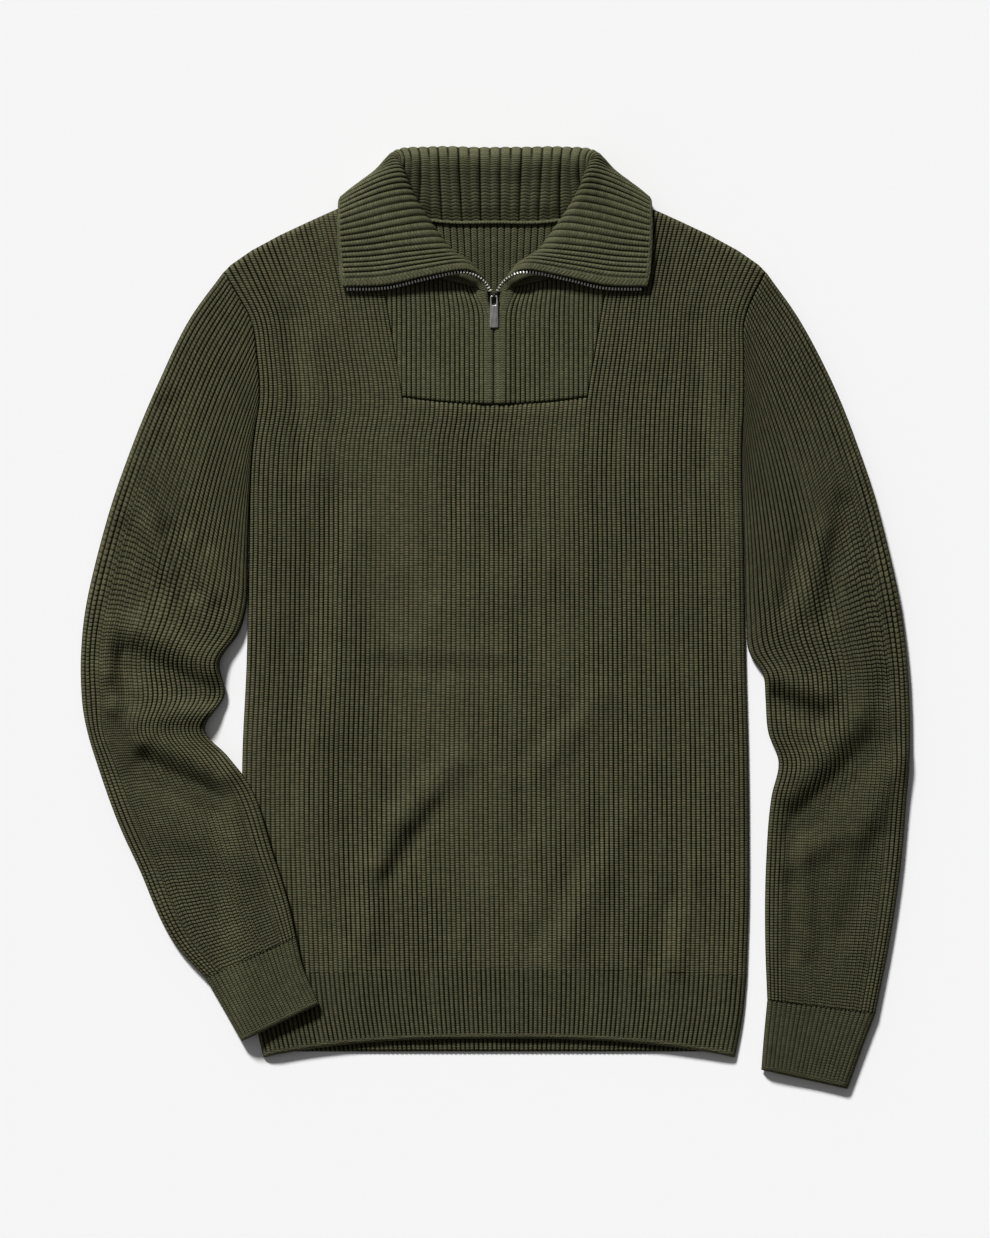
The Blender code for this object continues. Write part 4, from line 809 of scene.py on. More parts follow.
# ---- front and front hem
def front_sheet(plan, ribs, roll, panel, border=0.0):
    """Outer grid of the panel or the hem band, its ribs raised and its sides rolled to the table.

    The panel's top is rolled too. border is 1 where a plain, rounded edge takes the ribs' place.
    """
    x, y = plan[..., 0], plan[..., 1]
    level = front_level(x, y)
    ribbed = rib_profile(ribs)
    top = level + RIB_RISE * (ribbed + (BORDER_RISE - ribbed) * border)
    side = np.minimum(x - x[:, :1], x[:, -1:] - x)
    roll = roll[:, None]
    base = neck_lift(x, y)
    foot = ROLL_FOOT * roll + (1 - roll) * (WALL + GAP + SEWN_DEPTH) + base
    rounded = round_over(side, ROLL_RADIUS * roll + SIDE_RADIUS * (1 - roll))
    if panel:
        down = y[-1:] - y
        rounded = rounded * round_over(down, ROLL_RADIUS)
        near_top = smooth(1 - down / 8.0)
        foot = foot * (1 - near_top) + near_top * (base + ROLL_FOOT)
        rounded = rounded * (0.98 + 0.02 * round_over(y - y[:1], SEAM_ROUND))
    return np.stack([x, y, foot + (top - foot) * rounded], -1), level


def coarse_columns(count, step, must=()):
    """Every so many of the columns, with the last one and those that have to be there."""
    return np.unique(np.concatenate([np.arange(0, count, step), [count - 1], list(must)]).astype(int))


def draw_in(grid, inset):
    """Move both side columns of a grid towards its middle."""
    grid[:, 0, 0] += inset
    grid[:, -1, 0] -= inset


def inner_sheet(outer, level, columns, roll, panel):
    """Inner grid under an outer one: plain, a wall's thickness down, inset at the rolled edges."""
    grid = outer[:, columns].copy()
    draw_in(grid, ROLL_INSET * roll)
    grid[..., 2] = np.minimum(level[:, columns], outer[:, columns, 2] + 0.9) - WALL
    over_back = WALL + 0.15 + neck_lift(grid[..., 0], grid[..., 1])
    grid[..., 2] = np.minimum(np.maximum(grid[..., 2], over_back), outer[:, columns, 2] - 0.3)
    if panel:
        grid[-1, :, 1] -= ROLL_INSET
        grid[-1, :, 2] = neck_lift(grid[-1, :, 0], grid[-1, :, 1]) + INNER_FOOT
    for edge in (0, -1):
        grid[:, edge, 2] = grid[:, edge, 2] * (1 - roll) + INNER_FOOT * roll
    grid[..., 2] = np.maximum(grid[..., 2], INNER_FOOT / 2)
    return grid


def notch_rim(ids, low, high, foot):
    """The boundary of a sheet with a notch between two columns above the row foot."""
    top = ids.shape[0] - 1
    return [ids[0, :], ids[:, -1], ids[top, high:][::-1], ids[foot:, high][::-1],
            ids[foot, low:high + 1][::-1], ids[foot:, low], ids[top, :low + 1][::-1], ids[::-1, 0]]


def make_front():
    """The front panel: ribbed, with a notch for the yoke, rolled over at its sides and shoulders."""
    low, high = YOKE_RIBS
    ribs = fine_ribs(BODY_RIBS)
    at = stretches((-281, -277, YOKE_FOOT_Y, 271, 278), (FINE_ROW, ROW, ROW, FINE_ROW))
    plan = through(BODY["y"], body_plan(ribs), at)
    foot = int(np.argmin(np.abs(at - YOKE_FOOT_Y)))
    first, last = PER_RIB * low, PER_RIB * high
    plan[foot, first:last + 1, 1] = yoke_foot(plan[foot, first:last + 1, 0]) - GAP
    roll = ramp(at, YOKE_FOOT_Y - 8, YOKE_FOOT_Y - 38)
    for column, way in ((first, -1), (last, 1)):
        plan[foot:, column, 0] += way * GAP
    outer, level = front_sheet(plan, ribs, roll, True)
    # the edges that meet the yoke dip into their seam
    for column, way in ((first, -1), (last, 1)):
        for step, dip in enumerate((1.5, 0.9, 0.35)):
            outer[foot:, column + way * step, 2] -= dip
    for step, dip in enumerate((1.5, 0.4)):
        outer[foot - step, first:last + 1, 2] -= dip
    columns = coarse_columns(len(ribs), 4 * PER_RIB, (first, last))
    inner = inner_sheet(outer, level, columns, roll, True)
    cloth = Cloth()
    sides = []
    for grid, rib, a, b in ((outer, ribs, first, last),
                            (inner, ribs[columns], *np.searchsorted(columns, (first, last)))):
        keep = np.ones(grid.shape[:2], bool)
        keep[foot + 1:, a + 1:b] = False
        numbers = np.full(keep.shape, -1)
        numbers[keep] = np.arange(keep.sum()) + cloth.count
        course = grid[..., 1] / COURSE
        stretched = 0.25 * ramp(np.abs(grid[..., 0] + 10), 60, 110)
        # the grooves are drawn more open towards the sides, and uneven everywhere, by the strength of their
        # painted shade
        openness = 0.78 + 0.3 * drift(grid[..., 0] * 0.45, grid[..., 1] * 0.35) + stretched
        openness = np.clip(openness, 0.4, 1.0)
        across = np.broadcast_to(rib, keep.shape)
        cloth.add(grid[keep][None], across[keep][None], course[keep][None], openness[keep][None])
        cloth.skin(numbers)
        sides.append(notch_rim(numbers, a, b, foot))
    for outer_side, inner_side in zip(*sides):
        cloth.bridge(outer_side, inner_side)
    return cloth.finish("front_panel", BODY_KNIT)


def hem_plan(ribs, at):
    """x and y of the hem band at rib numbers, from its top (0) to its lower edge (1)."""
    share = np.asarray(ribs, float) / BODY_RIBS
    table = np.array(HEM_ROWS, float)
    knots = np.linspace(0, 1, len(HEM_ROWS))
    y, left, right = [through(knots, table[:, k], at)[:, None] for k in range(3)]
    across = np.abs(2 * share - 1)
    x = left + share * (right - left)
    top = hem_line(x) - 0.1
    rows_y = top + (y - table[0, 0]) + HEM_BOW * (1 - across ** 2.6) * at[:, None]
    rows_y = rows_y + (table[0, 0] - top) * at[:, None]
    return np.stack([x, rows_y], -1)


def make_front_hem():
    """The front's hem band: ribbed, down to its plain and rounded border."""
    ribs = fine_ribs(BODY_RIBS)
    at = np.concatenate([[0, 0.02], spaced(0.04, 0.92, 0.05), [0.94, 0.96, 0.975, 0.99, 1.0]])
    plan = hem_plan(ribs, at)
    roll = np.ones(len(at))
    up = plan[..., 1] - plan[-1:, :, 1]
    border = smooth(BORDER - up)
    outer, level = front_sheet(plan, ribs, roll, False, border)
    down = outer[:1, :, 1] - outer[..., 1]
    edge = round_over(up, 3.0)
    low = WALL + GAP + 0.5
    outer[..., 2] = np.where(outer[..., 2] > low, low + (outer[..., 2] - low) * edge, outer[..., 2])
    outer[..., 2] -= 0.1 * (1 - round_over(down, 1.6)) * ramp(outer[..., 2], 1, 3)
    columns = coarse_columns(len(ribs), 3 * PER_RIB)
    inner = inner_sheet(outer, level, columns, roll, False)
    return closed_sheet("front_hem_band", HEM_KNIT, [
        (outer, ribs, outer[..., 1] / FINE_COURSE, 1 - border),
        (inner, ribs[columns], inner[..., 1] / FINE_COURSE, 1 - border[:, columns])])


# ---- back
def make_back():
    """The back panel: ribbed inside where the neck shows it, its outside flat on the table."""
    low, high = YOKE_RIBS
    at = stretches((-281, 262, 278), (12.0, 1.6))
    inset = BACK_INSET * np.interp(at, BODY["y"], BODY["inset"])
    layers = []
    for fine in (True, False):
        own = fine_ribs(BACK_RIBS) if fine else np.linspace(0, BACK_RIBS, 49)
        body_rib = own * BODY_RIBS / BACK_RIBS
        plan = through(BODY["y"], body_plan(body_rib), at)
        draw_in(plan, inset)
        outside = (body_rib < low) | (body_rib > high)
        plan[-1, :, 1] -= np.where(outside, BACK_INSET, 0.0)
        draw_in(plan[-1:], BACK_INSET)
        x, y = plan[..., 0], plan[..., 1]
        z = neck_lift(x, y)
        if fine:
            shown = ramp(y, 244, 254) * ramp(np.abs(x), 70, 58)
            z = z + WALL + 0.7 * shown * (rib_profile(own) - 0.9)
        layers.append((np.stack([x, y, z], -1), own, y / COURSE))
    return closed_sheet("back_panel", INSIDE_KNIT, layers)


def make_back_hem():
    """The back's hem band: flat below, its ribs raised only where it shows."""
    at = np.concatenate([spaced(0, 0.7, 0.1), spaced(0.75, 0.95, 0.05), [0.97, 0.985, 1.0]])
    layers = []
    for fine in (True, False):
        own = fine_ribs(BODY_RIBS) if fine else np.linspace(0, BODY_RIBS, 43)
        plan = hem_plan(own, at)
        draw_in(plan, BACK_INSET)
        x = plan[..., 0]
        line = plan[0, :, 1]
        y = line + at[:, None] * (BACK_HEM_Y - line)
        z = np.zeros(y.shape)
        if fine:
            shown = smooth((at - 0.6) / 0.15)[:, None]
            edge = round_over(y - BACK_HEM_Y, 2.4)
            z = WALL * (0.25 + 0.75 * edge) + 0.7 * shown * edge * (rib_profile(own) - 0.5)
        layers.append((np.stack([x, y, z], -1), own, y / FINE_COURSE))
    return closed_sheet("back_hem_band", HEM_KNIT, layers)


# ---- yoke
def make_yoke(side, name):
    """Half of the yoke: vertical ribs cut by its slanted side, a plain strip along the zip."""
    outer_x = NECK_POINT[0] - YOKE_TIP
    edge_x = ZIP_STRIP + abs(ZIP_X)
    count = int((outer_x - edge_x) / YOKE_RIB)
    ribs = fine_ribs(count)
    strip, plain = np.array(STRIP_PROFILE).T
    steps = np.concatenate([np.linspace(outer_x, edge_x, len(ribs)), strip])
    rib = np.concatenate([ribs, count + (edge_x - strip) / YOKE_RIB])
    height = np.concatenate([rib_profile(ribs), plain])
    x = side * steps
    x[len(ribs):] += ZIP_X
    off = np.abs(x)
    foot = np.where(off < YOKE_FOOT_X, yoke_foot(x),
                    YOKE_FOOT_Y + (off - YOKE_FOOT_X) / (NECK_POINT[0] - YOKE_FOOT_X)
                    * (NECK_POINT[1] - YOKE_FOOT_Y))
    at = np.concatenate([[0, 0.012, 0.03, 0.06], spaced(0.1, 0.9, 0.045), [0.93, 0.96, 0.98, 1.0]])[:, None]
    y = foot + at * (neck_seam(x, 0, HPS_RIB) - foot)
    # the strips part below the slider
    apart = 4.4 * ramp(y, 241, 256) * np.clip(1 - (off - 0.3) / 9.0, 0, 1)
    bend = 9.0 * ramp(y, 232, 268) ** 2 * smooth(off / 9.0)
    x = x + side * (apart + bend * np.exp(-np.maximum(off - 9.0, 0.0) / 22.0))
    top_seam = neck_seam(x[-1], 0, HPS_RIB)
    y = foot + at * (top_seam - foot)
    rise = ZIP_RISE * ramp(np.abs(x), *ZIP_RISE_X)
    # the strip over the zip comes down to the front panel at its foot
    rise = rise * (0.7 + 0.3 * smooth((y - foot) / 14.0))
    # beside the zip the cloth sinks towards the neck seam, below the fold of the collar
    sunk = SEAM_SINK * smooth(1 - (top_seam - y) / 16.0) * ramp(np.abs(x), 11, 19)
    level = front_level(x, y) + rise - sunk
    # the cloth dips to its seams; beside the slanted one the distance is taken across it
    slant = np.where(off > YOKE_FOOT_X, 0.165, 1.0)
    edge = np.minimum(np.abs(y - foot) * slant, 5.0)
    top = level + RIB_RISE * height - 1.5 * (1 - round_over(edge, SEAM_ROUND))
    top = top - (1 - round_over(steps[0] - steps, SEAM_ROUND))
    outer = np.stack([x, y, top], -1)
    columns = coarse_columns(len(steps), 2 * PER_RIB, (len(steps) - 2,))
    inner = outer[:, columns].copy()
    inner[..., 2] = np.minimum(level[:, columns], outer[:, columns, 2] + 0.6) - WALL
    # the plain strips carry only a quarter of the painted groove shade
    return closed_sheet(name, YOKE_KNIT, [
        (grid, own, grid[..., 1] / FINE_COURSE, np.where(own > count + 0.1, 0.25, 1.0))
        for grid, own in ((outer, rib), (inner, rib[columns]))])


# ---- sleeves and cuffs
def tube_under(side, x, y):
    """Underside of a sleeve: on the table, or up over the body where it crosses it."""
    if side > 0:
        return np.zeros_like(x)
    beside = body_edge(side, y) - x
    return OVER_BODY * ramp(beside, *CLIMB_X) * ramp(y, *CLIMB_Y)


def tube_plan(side, rows, share, sleeve):
    """x, y and height of a tube's rows across the given shares, smooth from its first to its last."""
    hole = armhole(side, share)
    tip, underarm = armhole(side, np.array([0.0, 1.0]))
    chord = tip + share[:, None] * (underarm - tip)
    plan = []
    heights = []
    if sleeve:
        plan.append(hole + np.array([side * SEAM_GROOVE, -0.5 * SEAM_GROOVE]))
        heights.append(2 * WALL + GAP + SEWN_DEPTH)
    for outer_x, outer_y, inner_x, inner_y, bulge, height in rows:
        ends = np.array([(outer_x, outer_y), (inner_x, inner_y)], float)
        line = ends[0] + share[:, None] * (ends[1] - ends[0])
        plan.append(line + bulge * (hole - chord))
        heights.append(height)
    plan = np.array(plan)
    knots = distances(plan[:, len(share) // 2])
    near = min(4.0, knots[-1] / 4)
    at = stretches((0, near, knots[-1] - near, knots[-1]), (0.8, ROW, 0.8))
    return through(knots, plan, at), through(knots, np.array(heights), at), at


def rib_openness(side, y, share, width):
    """1 where a sleeve's ribs lie open, with painted shade in their grooves; less where they close and only
    the rows of loops show, darkened by painted shade between the loops.
    """
    inside = ramp(np.minimum(share, 1 - share) * width, 10, 18)
    low = ramp(y, -105, -165)
    outer = ramp(share, 0.5, 0.25) * ramp(y, 150, 90)
    closed = np.maximum(low * (0.8 if side < 0 else 0.5), outer * (0.55 if side < 0 else 0.75))
    return 1 - inside * closed


def make_tube(name, side, rows, material, creases=()):
    """A flat ribbed tube: crowned above, flat below, open at both ends.

    With creases it is a sleeve, sewn on at both ends. Without any it is a cuff with a free end.
    """
    sleeve = len(creases) > 0
    ribs = SLEEVE_RIBS if sleeve else CUFF_RIBS
    top_share = fine_ribs(ribs) / ribs
    under_share = np.arange(4 * ribs - 1, 0, -1) / (4 * ribs)
    share = np.concatenate([top_share, under_share])
    upper = np.arange(len(share)) < len(top_share)
    rib = np.concatenate([top_share * ribs, 2 * ribs - under_share * ribs])
    plan, height, at = tube_plan(side, rows, share, sleeve)
    to_end = at[-1] - at
    course = at[:, None] / (SLEEVE_COURSE if sleeve else FINE_COURSE)
    x, y = plan[..., 0], plan[..., 1]
    height = height[:, None]
    width = np.linalg.norm(plan[:, len(top_share) - 1] - plan[:, 0], axis=-1)[:, None]
    under = tube_under(side, x, y)
    fade = smooth(at / 14.0)[:, None] if sleeve else 1.0
    lift = (crease_rise(x, y, creases) + 0.45 * drift(x * 1.3, y * 1.2)) * fade
    rounded = round_over(np.minimum(share, 1 - share) * width, EDGE_ROLL)
    # both ends of the tube dip where a seam or an open rim ends them
    if sleeve:
        ends = (0.6 + 0.4 * round_over(at, 2.4)) * (0.97 + 0.03 * round_over(to_end, 1.2))
        openness = rib_openness(side, y, share, width)
        border = 0.0
    else:
        ends = (0.97 + 0.03 * round_over(at, 1.6)) * (0.55 + 0.45 * round_over(to_end, 3.0))
        openness = np.full(x.shape, 0.75)
        border = smooth(BORDER - to_end)[:, None]
    crown = height * (EDGE_LEVEL + (1 - EDGE_LEVEL) * rounded)
    # the bottom of a deep crease rests on the cloth below it
    level = np.maximum(crown + lift * rounded, np.minimum(crown, 2 * WALL + INSIDE_AIR + RIB_RISE))
    ribbed = (rib_profile(rib) - 1) * (0.35 + 0.65 * rounded) * (0.4 + 0.6 * openness)
    level = level + RIB_RISE * (ribbed * (1 - border) - (1 - BORDER_RISE) * border)
    openness = openness * (1 - border)
    top = under + level * ends[:, None]
    bottom = under + height * EDGE_LEVEL * (1 - rounded)
    z = np.where(upper, top, bottom)
    outer = np.stack([x, y, z], -1)
    cloth = Cloth()
    outer_ids = cloth.layer(outer, rib, course, openness, wrap=2 * ribs)
    inset = (WALL + 0.5) / width[:, 0]
    inner_top = np.linspace(0, 1, 17)
    inner_under = np.linspace(0.94, 0.06, 7)
    inner = []
    for r in range(len(at)):
        line = plan[r, :len(top_share)]
        own = inset[r] + np.concatenate([inner_top, inner_under]) * (1 - 2 * inset[r])
        points = np.stack([np.interp(own, top_share, line[:, k]) for k in range(2)], -1)
        floor_in = tube_under(side, points[:, 0], points[:, 1]) + WALL
        ceiling = np.interp(own, top_share, top[r, :len(top_share)]) - WALL - 0.4
        ceiling = np.maximum(ceiling, floor_in + INSIDE_AIR)
        corners = [0, len(inner_top) - 1]
        ceiling[corners] = (0.5 * (ceiling + floor_in))[corners]
        heights = np.where(np.arange(len(own)) < len(inner_top), ceiling, floor_in)
        inner.append(np.concatenate([points, heights[:, None]], 1))
    inner_rib = np.concatenate([inner_top * ribs, 2 * ribs - inner_under * ribs])
    inner_ids = cloth.layer(np.array(inner), inner_rib, course, wrap=2 * ribs)
    for row in (0, -1):
        cloth.bridge(np.append(outer_ids[row], outer_ids[row, 0]),
                     np.append(inner_ids[row], inner_ids[row, 0]))
    return cloth.finish(name, material)


# ---- collar
def collar_frame(ribs, places):
    """Centre points and the unit normal on the ribbed side."""
    ribs = np.asarray(ribs, float)
    places = np.asarray(places, float)
    step = 0.05
    low, high = np.clip(ribs - step, 0, COLLAR_RIBS), np.clip(ribs + step, 0, COLLAR_RIBS)
    along = collar_centre(high, places) - collar_centre(low, places)
    down, up = np.clip(places - step, 0, EDGE_PLACE), np.clip(places + step, 0, EDGE_PLACE)
    across = collar_centre(ribs, up) - collar_centre(ribs, down)
    return collar_centre(ribs, places), unit(np.cross(along, across))


def make_collar():
    """The collar: one ribbed band that rises from the neck seam, folds over and falls."""
    edge_ribs = np.array([CLOTH_EDGE, 0.5, 0.57])
    ribs = np.concatenate([edge_ribs, np.arange(4, PER_RIB * COLLAR_RIBS - 3) / PER_RIB,
                           COLLAR_RIBS - edge_ribs[::-1]])
    places = np.concatenate([[0, 0.04, 0.1], spaced(0.2, 5.8, 0.09),
                             [5.85, 5.88, 5.91, 5.94, 5.97, 5.99, EDGE_PLACE]])
    centre, normal = collar_frame(ribs, places)
    to_zip = np.minimum(ribs, COLLAR_RIBS - ribs) - CLOTH_EDGE
    past_strip = to_zip - COLLAR_PLAIN + CLOTH_EDGE
    ribbed = smooth(past_strip / 0.3)
    # on the stand the band is stretched and every second groove closes up
    faint = (np.round(ribs) % 2 == 1)[:, None]
    on_stand = smooth((CLOSED_GROOVES[0] - places) / CLOSED_GROOVES[1])
    profile = rib_profile(ribs)[:, None]
    profile = np.where(faint, profile + (1 - profile) * 0.62 * on_stand, profile)
    rise = RIB_RISE * (1.25 + 0.4 * on_stand) * profile
    border = smooth((places - COLLAR_BORDER) / 0.04)
    rise = rise * (1 - border) + 0.62 * RIB_RISE * border
    strip = 0.72 * RIB_RISE * round_over(to_zip, 0.35) - 0.35 * np.exp(-(past_strip / 0.18) ** 2)
    rise = rise * ribbed[:, None] + strip[:, None] * (1 - ribbed[:, None])
    free = np.minimum(round_over((EDGE_PLACE - places) * 18.0, 2.2),
                      round_over(to_zip * 4.0, 1.8)[:, None])
    height = centre[..., 2]
    rest = ramp(height, *COLLAR_REST)
    rest = rest * smooth(places / 0.5)
    thick = (WALL / 2) * (0.35 + 0.65 * free) + rise * rest * free
    sag = 0.25 * drift(centre[..., 0] * 1.7, centre[..., 1] * 1.9) * ramp(height, 9, 14)
    outer = centre + normal * (thick + sag)[..., None]
    inner_ribs = np.linspace(CLOTH_EDGE, COLLAR_RIBS - CLOTH_EDGE, 72)
    inner_places = np.concatenate([[0, 0.1], spaced(0.25, 5.75, 0.25), [5.9, EDGE_PLACE]])
    centre_in, normal_in = collar_frame(inner_ribs, inner_places)
    inner = centre_in - normal_in * (WALL / 2)
    outer[..., 2] = np.maximum(outer[..., 2], 0.02)
    inner[..., 2] = np.maximum(inner[..., 2], 0.0)
    layers = []
    for grid, own, place in ((outer, ribs, places), (inner, inner_ribs, inner_places)):
        # how much painted shade each groove carries: every second one less on the stand, none on the plain
        # strip and the border, and on the inner face only away from the zip
        near_zip = np.minimum(own, COLLAR_RIBS - own)[:, None]
        closed = 0.7 * smooth((CLOSED_GROOVES[0] - place) / CLOSED_GROOVES[1])
        open_groove = np.where(np.round(own)[:, None] % 2 == 1, 1 - closed, 1.0)
        open_groove = open_groove * smooth((near_zip - COLLAR_PLAIN) / 0.3 + 0.5)
        open_groove = open_groove * (1 - smooth((place - 5.86) / 0.04))
        if grid is inner:
            open_groove = open_groove * ramp(near_zip, 9, 15)
        layers.append((grid, own[:, None], place * 20.0 / FINE_COURSE, open_groove))
    return closed_sheet("folded_collar", COLLAR_KNIT, layers)


def make_neck_cord():
    """The raised, corded seam where the collar joins the back neck: linked loops, twisted."""
    ribs = np.linspace(17.5, COLLAR_RIBS - 17.5, 360)
    seam = collar_centre(ribs, [0.0])[:, 0]
    path = unit(np.gradient(seam, axis=0))
    around = np.linspace(0, 2 * np.pi, 11)[:-1]
    cross = unit(np.cross(path, [0.0, 0.0, 1.0]))
    above = np.cross(cross, path)
    number = np.arange(len(ribs))[:, None]
    radius = 1.25 * (1 + 0.16 * np.abs(np.sin(around + number * 0.45)))
    centre = seam + np.array([0.0, -0.9, 2.2])
    ring = (centre[:, None] + cross[:, None] * (radius * np.cos(around))[..., None]
            + above[:, None] * (0.8 * radius * np.sin(around))[..., None])
    return closed_tube("neck_seam_cord", COLLAR_KNIT, ring, around / (2 * np.pi) * 2, number * 0.3, wrap=2.0)


# ---- zip
def tape_middle(places, centre, normal):
    """The middle of the open tape: inside the collar's start, then round its edge and underneath."""
    turned = ramp(places, *TAPE_TURN)
    beside = WALL / 2 + GAP + TAPE_THICK / 2
    return centre + normal * (beside * (1 - 2 * turned))[:, None]


def zip_line(side, places):
    """The middle of the open zip, with the collar's normal, its inward way and the way along it.

    The zip leaves the slider's mouth in a curve and then follows the collar's edge.
    """
    edge_rib = 0.0 if side < 0 else float(COLLAR_RIBS)
    centre, normal = [values[0] for values in collar_frame([edge_rib], places)]
    into = collar_centre([edge_rib - side * 0.6], places)[0] - centre
    path = unit(np.gradient(centre, axis=0))
    into = unit(into - path * np.sum(into * path, axis=-1, keepdims=True))
    table = np.array(ZIP_PATH)
    line = through(table[:, 0], table[:, 1:], np.minimum(places, table[-1, 0]))
    line[:, 0] = ZIP_X + side * line[:, 0]
    joined = ramp(places, *ZIP_BLEND)[:, None]
    return line + (tape_middle(places, centre, normal) - line) * joined, normal, into, path


def make_zip_roll(side, name):
    """The plain strip on the collar's outer side, seen below the teeth where the edge rolls out."""
    places = spaced(0.1, ROLL_WIDTHS[-1][0], 0.06)
    line = zip_line(side, places)[0]
    knots, widths = zip(*ROLL_WIDTHS)
    width = np.interp(places, knots, widths)[:, None]
    path = np.gradient(line, axis=0)
    down = unit(side * np.stack([path[:, 1], -path[:, 0], 0 * path[:, 0]], -1))
    turn = np.linspace(0, math.pi / 2, 9)
    out = np.concatenate([np.sin(turn) * width, np.sin(turn[::-1]) * width * 0.55], 1) + ROLL_FROM
    ring = line[:, None] + down[:, None] * out[..., None]
    level = front_level(ring[..., 0], ring[..., 1]) + ZIP_RISE + RIB_RISE
    fall = np.clip(line[:, None, 2] + 0.3 - level, 0.3, 0.45 * width)
    lower = np.repeat([0.0, 1.0], len(turn))
    bend = 1 - np.cos(np.concatenate([turn, turn[::-1]]))
    ring[..., 2] += 0.3 - fall * bend - lower * (1 - bend) * (0.3 * width + 0.8)
    return closed_tube(name, COLLAR_KNIT, ring, out / YOKE_RIB, places[:, None] * 6.0,
                       wrap=ROLL_FROM / YOKE_RIB, depth=0.0)


def make_tape(side, name):
    """A zip tape: behind the closed placket, then along the open collar's edge."""
    places = np.concatenate([[TAPE_ENDS[0]], spaced(0.3, 5.7, 0.1), [TAPE_ENDS[1]]])
    middle, normal, into, _ = zip_line(side, places)
    under = ramp(places, TAPE_TURN[1], TAPE_SPREAD)
    tape_z = WALL + GAP + TAPE_THICK
    far = ZIP_X + side * (TAPE_OUT + TAPE_IN)
    rows = []
    for y, clear in TAPE_ROWS:
        near = ZIP_X + side * clear
        rows.append([(near, y, tape_z), (far, y, tape_z), (far, y, tape_z - TAPE_THICK),
                     (near, y, tape_z - TAPE_THICK)])
    for place, m, n, i, u in zip(places, middle, normal, into, under):
        grown = min(place / 0.8, 1.0)
        near = m - i * TAPE_SHOWN * grown
        far_point = m + i * (TAPE_OUT + (TAPE_IN - TAPE_OUT) * u) * (0.4 + 0.6 * grown)
        half = n * TAPE_THICK / 2
        rows.append([near - half, far_point - half, far_point + half, near + half])
    rows = np.array(rows, float)
    course = distances(rows[:, 0])[:, None] / TAPE_CELL
    return closed_tube(name, TAPE_WEAVE, rows, (0.0, 6.0, 7.0, 13.0), course, wrap=14.0, sharp=40)


def tooth_shape():
    """Points and faces of one metal tooth: a bevelled block with a nib at its head."""
    work = bmesh.new()
    bmesh.ops.create_cube(work, size=1.0)
    bmesh.ops.bevel(work, geom=list(work.edges), offset=0.16, segments=2, affect="EDGES", profile=0.6)
    points = np.array([v.co[:] for v in work.verts])
    faces = [[v.index for v in f.verts] for f in work.faces]
    work.free()
    points[:, 2] *= 1.0 - 0.25 * (points[:, 0] < 0)
    return points * np.array(TOOTH), faces


def make_teeth(side, name):
    """The teeth of one tape: spread along the open collar edge, meshed behind the placket."""
    centre, normal, into, path = zip_line(side, np.linspace(0.0, 5.95, 400))
    along = distances(centre)
    shape, faces = tooth_shape()
    points = []
    cells = []

    def place(origin, across, forward, up):
        """Set a tooth at a point, turned to three directions."""
        start = len(points) * len(shape)
        points.append(origin + shape[:, :1] * across + shape[:, 1:2] * forward + shape[:, 2:] * up)
        cells.extend([[k + start for k in face] for face in faces])

    for s in np.arange(0.5 * TOOTH_PITCH, along[-1] - 0.6, TOOTH_PITCH):
        place(*[np.array([np.interp(s, along, v[:, k]) for k in range(3)])
                for v in (centre, into, path, normal)])
    level = WALL + GAP + TAPE_THICK + 0.2
    shift = 0.5 * TOOTH_PITCH if side > 0 else 0.0
    for y in np.arange(*CLOSED_TEETH_Y, TOOTH_PITCH):
        place(np.array([ZIP_X + side * 0.85, y + shift, level]), np.array([side, 0.0, 0.0]),
              np.array([0.0, 1.0, 0.0]), np.array([0.0, 0.0, 0.75]))
    return finish_mesh(new_mesh(name, np.concatenate(points), cells), TOOTH_METAL, 50)


def object_from(work, name, material):
    """Finish a bmesh in millimetres as an object with crisp edges."""
    for v in work.verts:
        v.co *= MM
    mesh = bpy.data.meshes.new(name)
    work.to_mesh(mesh)
    work.free()
    return finish_mesh(mesh, material, 40)


def stack(work, rings):
    """Add a closed solid through rings of points with the same count to a bmesh."""
    rings = [[work.verts.new(point) for point in ring] for ring in rings]
    work.faces.new(rings[0])
    work.faces.new(rings[-1])
    for a, b in zip(rings, rings[1:]):
        for k in range(len(a)):
            n = (k + 1) % len(a)
            work.faces.new((a[k], a[n], b[n], b[k]))


def plate(work, outline, low, high):
    """Add a plate to a bmesh, its outline given from the middle of the slider."""
    stack(work, [[(ZIP_X + x, SLIDER_Y + y, z) for x, y in outline] for z in (low, high)])


# a shield: broad and parted at the top, waisted to the tail
SLIDER_OUTLINE = [(-2.5, 3.4), (-1.6, 4.3), (-0.5, 3.9), (0.5, 3.9), (1.6, 4.3), (2.5, 3.4), (2.5, 0.6),
                  (2.15, -3.4), (1.5, -4.2), (-1.5, -4.2), (-2.15, -3.4), (-2.5, 0.6)]
SLIDER_NECK = [(-0.9, 3.6), (0.9, 3.6), (0.5, 0.0), (-0.5, 0.0)]
SLIDER_LIP = [(2.0, 0.6), (2.5, 0.4), (2.2, -3.6), (1.8, -3.6)]
BAIL_SECTION = [(-0.8, -0.2), (-0.6, -0.42), (0.6, -0.42), (0.8, -0.2),
                (0.8, 0.25), (0.55, 0.5), (-0.55, 0.5), (-0.8, 0.25)]      # across the zip, and outward


